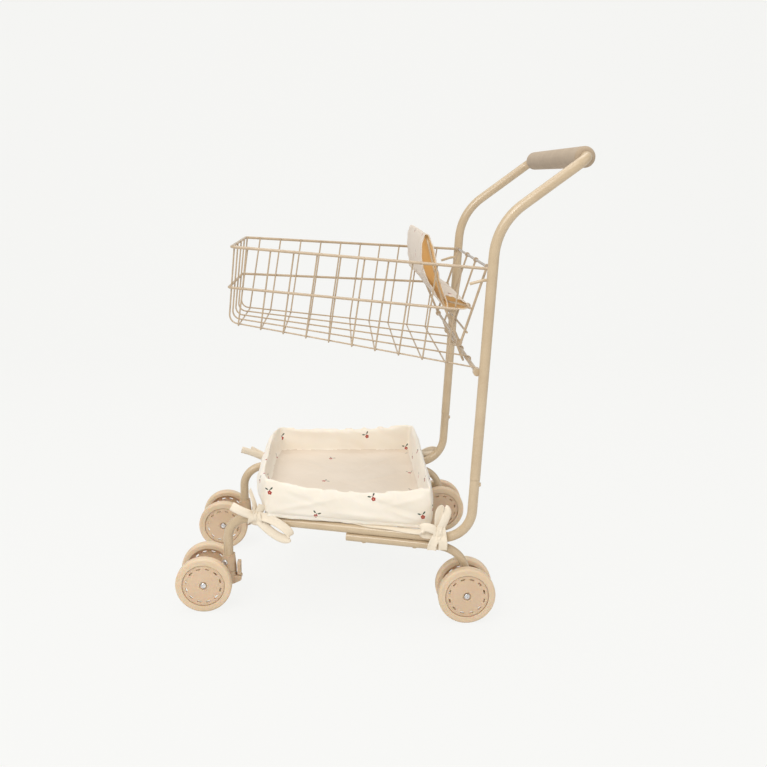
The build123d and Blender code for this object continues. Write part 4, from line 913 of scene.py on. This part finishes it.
BACK_OUTLINE = [(77.5, 371.5), (71.0, 381.0), (64.0, 393.5), (57.5, 405.0), (53.4, 417.0), (51.6, 430.0),
                (52.0, 442.0), (54.6, 451.5), (58.0, 453.6), (61.3, 446.5), (64.5, 438.0), (67.0, 424.0),
                (69.5, 411.0), (72.5, 400.0), (76.5, 388.0), (81.5, 374.5), (80.5, 370.5)]
seat_back, back_length = sleeve("seat_back_sleeve", BACK_OUTLINE, 0.1300, 136, droop=0.0012,
                                bellies=((0.0080, 0.388, 0.016), (-0.0015, 0.436, 0.020)))
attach(seat_back, "seat_back")
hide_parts("seat_back_cover")

BASE_OUTLINE = [(78.2, 373.6), (77.8, 378.6), (79.6, 383.2), (84.3, 382.2), (91.4, 380.2), (100.9, 375.8),
                (105.6, 372.6), (107.6, 370.7), (106.6, 369.2), (104.6, 368.9), (93.2, 367.6), (83.8, 368.9),
                (80.2, 370.8)]
seat_base, base_length = sleeve("seat_base_sleeve", BASE_OUTLINE, 0.1220, 104)
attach(seat_base, "seat_base")
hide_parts("seat_base_cover")

# %% [markdown]
# ## Cotton ties
# Four cotton tapes tie the tray's corners to the rails. A tape keeps its width and bends only across itself,
# so each strand is a ribbon surface: a smooth path, a direction for its width, and a slight cup. Simulating such
# a thin strip at this size would only blur it, so its shape is set with a few control points. A control point
# counts from the knot, and the left side is the one at -Y.

# %% Tape strands
TAPE = 0.0105


def b_spline(points, n):
    """Cubic B-spline of n points. Each end counts three times, so that the curve starts and ends there."""
    p = np.asarray(points, float)
    p = np.concatenate([p[:1], p[:1], p, p[-1:], p[-1:]])
    t = np.linspace(0, len(p) - 3 - 1e-9, n)
    k = t.astype(int)
    f = (t - k)[:, None]
    a, b, c, d = (p[k + j] for j in range(4))
    return ((1 - f) ** 3 * a + (3 * f ** 3 - 6 * f ** 2 + 4) * b + (-3 * f ** 3 + 3 * f ** 2 + 3 * f + 1) * c
            + f ** 3 * d) / 6


def strand(path, wide, width=TAPE, n=48, across=7, cup=0.10):
    """Ribbon grid: the smooth path, plus a share of the width along wide, plus a cup of its square."""
    line = b_spline(path, n)
    tangent = np.gradient(line, axis=0)
    tangent /= np.linalg.norm(tangent, axis=1, keepdims=True)
    w = b_spline(wide, n)
    w = w - (w * tangent).sum(1, keepdims=True) * tangent
    w /= np.linalg.norm(w, axis=1, keepdims=True)
    normal = np.cross(tangent, w)
    s = np.linspace(-1, 1, across)
    points = line[:, None] + w[:, None] * (s * width / 2)[None, :, None]
    points = points + normal[:, None] * (cup * width * (s ** 2 - 0.4))[None, :, None]
    run = np.concatenate([[0], np.cumsum(np.linalg.norm(np.diff(line, axis=0), axis=1))])
    uv = np.stack(np.meshgrid(run, s * width / 2, indexing="ij"), axis=-1)
    return points, uv, run[-1]


def tie(name, strands, nodes):
    """All strands of one tie as one mesh, with a thickness of 0.7 mm. Its flat length is the strands' area
    over the tape's width."""
    made = [strand(**one) for one in strands]
    points = np.concatenate([p.reshape(-1, 3) for p, _, _ in made])
    faces, corners, start = [], [], 0
    for p, uv, _ in made:
        quads = grid_faces(p.shape[0], p.shape[1], False, False, start)
        faces += list(quads)
        corners.append(uv.reshape(-1, 2)[quads - start].reshape(-1, 2))
        start += p.shape[0] * p.shape[1]
    obj = mesh_object(name, points, faces)
    set_uv(obj, np.concatenate(corners))
    obj.data.materials.append(ribbon_cotton)
    thicken(obj, 0.0007)
    length = sum(l for _, _, l in made)
    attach(obj, "frame")
    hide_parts(*nodes)
    print(name, "tape", round(length * 1000), "mm")


def wrap(x, side, radius, x_drift):
    """Strand wound once round the rail: a circle in the plane across the rail, drifting along it."""
    half, z = rail_middle(x)
    a = np.linspace(0.3 * np.pi, 2.3 * np.pi, 14)
    drift = np.linspace(-0.5, 0.5, len(a)) * x_drift
    path = np.column_stack([x + drift, side * (half + radius * np.cos(a)), z + radius * np.sin(a)])
    return dict(path=path, wide=[(1, 0, 0)] * 2, n=60)


def mirrored(points, side):
    """The points, with Y turned over for the right side (-1)."""
    return [(x, y * side, z) for x, y, z in points]


def bow(x, side, lift, loops, tails):
    """Strands of a bow: two wraps round the rail, a knot of three short folds, then its loops and tails."""
    half, z = rail_middle(x)
    knot = np.array([x, -(half + 0.00795), z + lift])
    folds = []
    for dx, tilt in ((-0.0030, 0.35), (0.0028, -0.3), (0.0, 1.5)):
        a = np.linspace(0, 2 * np.pi, 12)
        ring = knot + np.column_stack([dx + 0.0055 * np.sin(tilt) * np.sin(a), 0.0045 * np.cos(a),
                                       0.0085 * np.cos(tilt) * np.sin(a)])
        folds.append(dict(path=mirrored(ring, side), wide=[(math.cos(tilt), 0, math.sin(tilt))] * 2,
                          width=0.0090, n=40, cup=0.16))
    strands = [wrap(x - 0.002, -side, 0.0070, 0.003), wrap(x + 0.002, -side, 0.0077, -0.003)]
    for path, wide in loops + tails:
        path = [knot + np.array(p) for p in path]
        strands.append(dict(path=mirrored(path, side), wide=mirrored(wide, side)))
    return strands + folds


# %% Front and rear ties
def front_bow(side):
    """Bow at the front corner: one loop falls back along the rail, one broad end lies forward, and two ends
    stand up. On the right the taller of these has fallen forwards."""
    loops = [([(0, 0, 0), (0.010, -0.005, 0.001), (0.025, -0.009, -0.004), (0.039, -0.010, -0.014),
               (0.044, -0.009, -0.023), (0.038, -0.008, -0.029), (0.024, -0.006, -0.023),
               (0.011, -0.004, -0.012), (0, 0, -0.001)],
              [(-0.30, 0.25, 1), (0.30, 0.3, 1), (0.5, 0.3, 1), (0.4, 0.25, 1)])]
    tails = [([(0, 0, 0), (-0.007, -0.005, 0.004), (-0.017, -0.0075, 0.009), (-0.0275, -0.0065, 0.015)],
              [(0.3, 0.2, 1), (0.45, 0.1, 0.9), (0.5, 0.3, 0.85)]),
             ([(0, 0, 0.002), (0.001, -0.004, 0.012), (-0.001, -0.0065, 0.024), (-0.005, -0.0065, 0.036)],
              [(0.5, 1, 0), (0.3, 1, 0), (0.15, 1, 0)]),
             ([(0.002, 0, 0.002), (0.006, -0.004, 0.008), (0.010, -0.0065, 0.0165)],
              [(1, 0.3, -0.5), (1, 0.6, -0.6)])]
    if side < 0:
        tails[1] = ([(0, 0, 0), (-0.012, -0.005, 0.004), (-0.026, -0.007, 0.010), (-0.040, -0.0065, 0.014)],
                    [(0.3, 0.3, 1)] * 3)
    return bow(-0.146, side, 0.0062, loops, tails)


def rear_bow(side):
    """Bow at the rear corner: a small loop stands up, a broad fold lies forward and two ends hang down. On
    the right the small loop has fallen backwards along the rail."""
    loops = [([(0, 0, 0), (0.003, -0.004, 0.009), (0.007, -0.005, 0.020), (0.009, -0.004, 0.028),
               (0.003, -0.003, 0.032), (-0.001, -0.002, 0.024), (-0.001, -0.001, 0.010), (0, 0, 0)],
              [(1, 0.35, -0.2), (1, 0.1, -0.3), (1, -0.2, -0.2), (1, 0.1, 0)]),
             ([(0, 0, 0), (-0.008, -0.006, 0.006), (-0.018, -0.006, 0.009), (-0.0235, -0.004, 0.005),
               (-0.019, -0.002, -0.002), (-0.008, -0.001, -0.003), (0, 0, 0)],
              [(0.1, 0.2, 1), (0, 0.1, 1), (0, 0.3, 1)])]
    if side < 0:
        loops[0] = ([(0, 0, 0), (0.008, -0.004, 0.003), (0.019, -0.005, 0.007), (0.028, -0.004, 0.006),
                     (0.030, -0.003, 0.001), (0.020, -0.002, -0.002), (0.008, -0.001, -0.001), (0, 0, 0)],
                    [(0.2, 0.35, 1), (0.3, 0.1, 1), (0.2, -0.2, 1), (0, 0.1, 1)])
    tails = [([(0, 0, 0), (-0.005, -0.006, -0.006), (-0.009, -0.0065, -0.013), (-0.0095, -0.0050, -0.0205)],
              [(1, 0.2, 0.2), (1, 0.1, 0), (1, -0.1, 0.1)]),
             ([(0.001, 0, 0), (0.003, -0.006, -0.006), (0.004, -0.0065, -0.013), (0.0035, -0.0045, -0.0205)],
              [(1, -0.2, 0.2), (1, 0.15, 0), (1, 0.1, -0.1)])]
    return bow(0.073, side, 0.0093, loops, tails)


for side, word in ((1, "left"), (-1, "right")):
    tie("front_tie_" + word, front_bow(side), ["tie_front_" + word])
    tie("rear_tie_" + word, rear_bow(side), ["tie_rear_" + word])

# %% [markdown]
# ## Last step
# The view layer is updated once more, so that every object's place is current.

# %% Finish
bpy.context.view_layer.update()
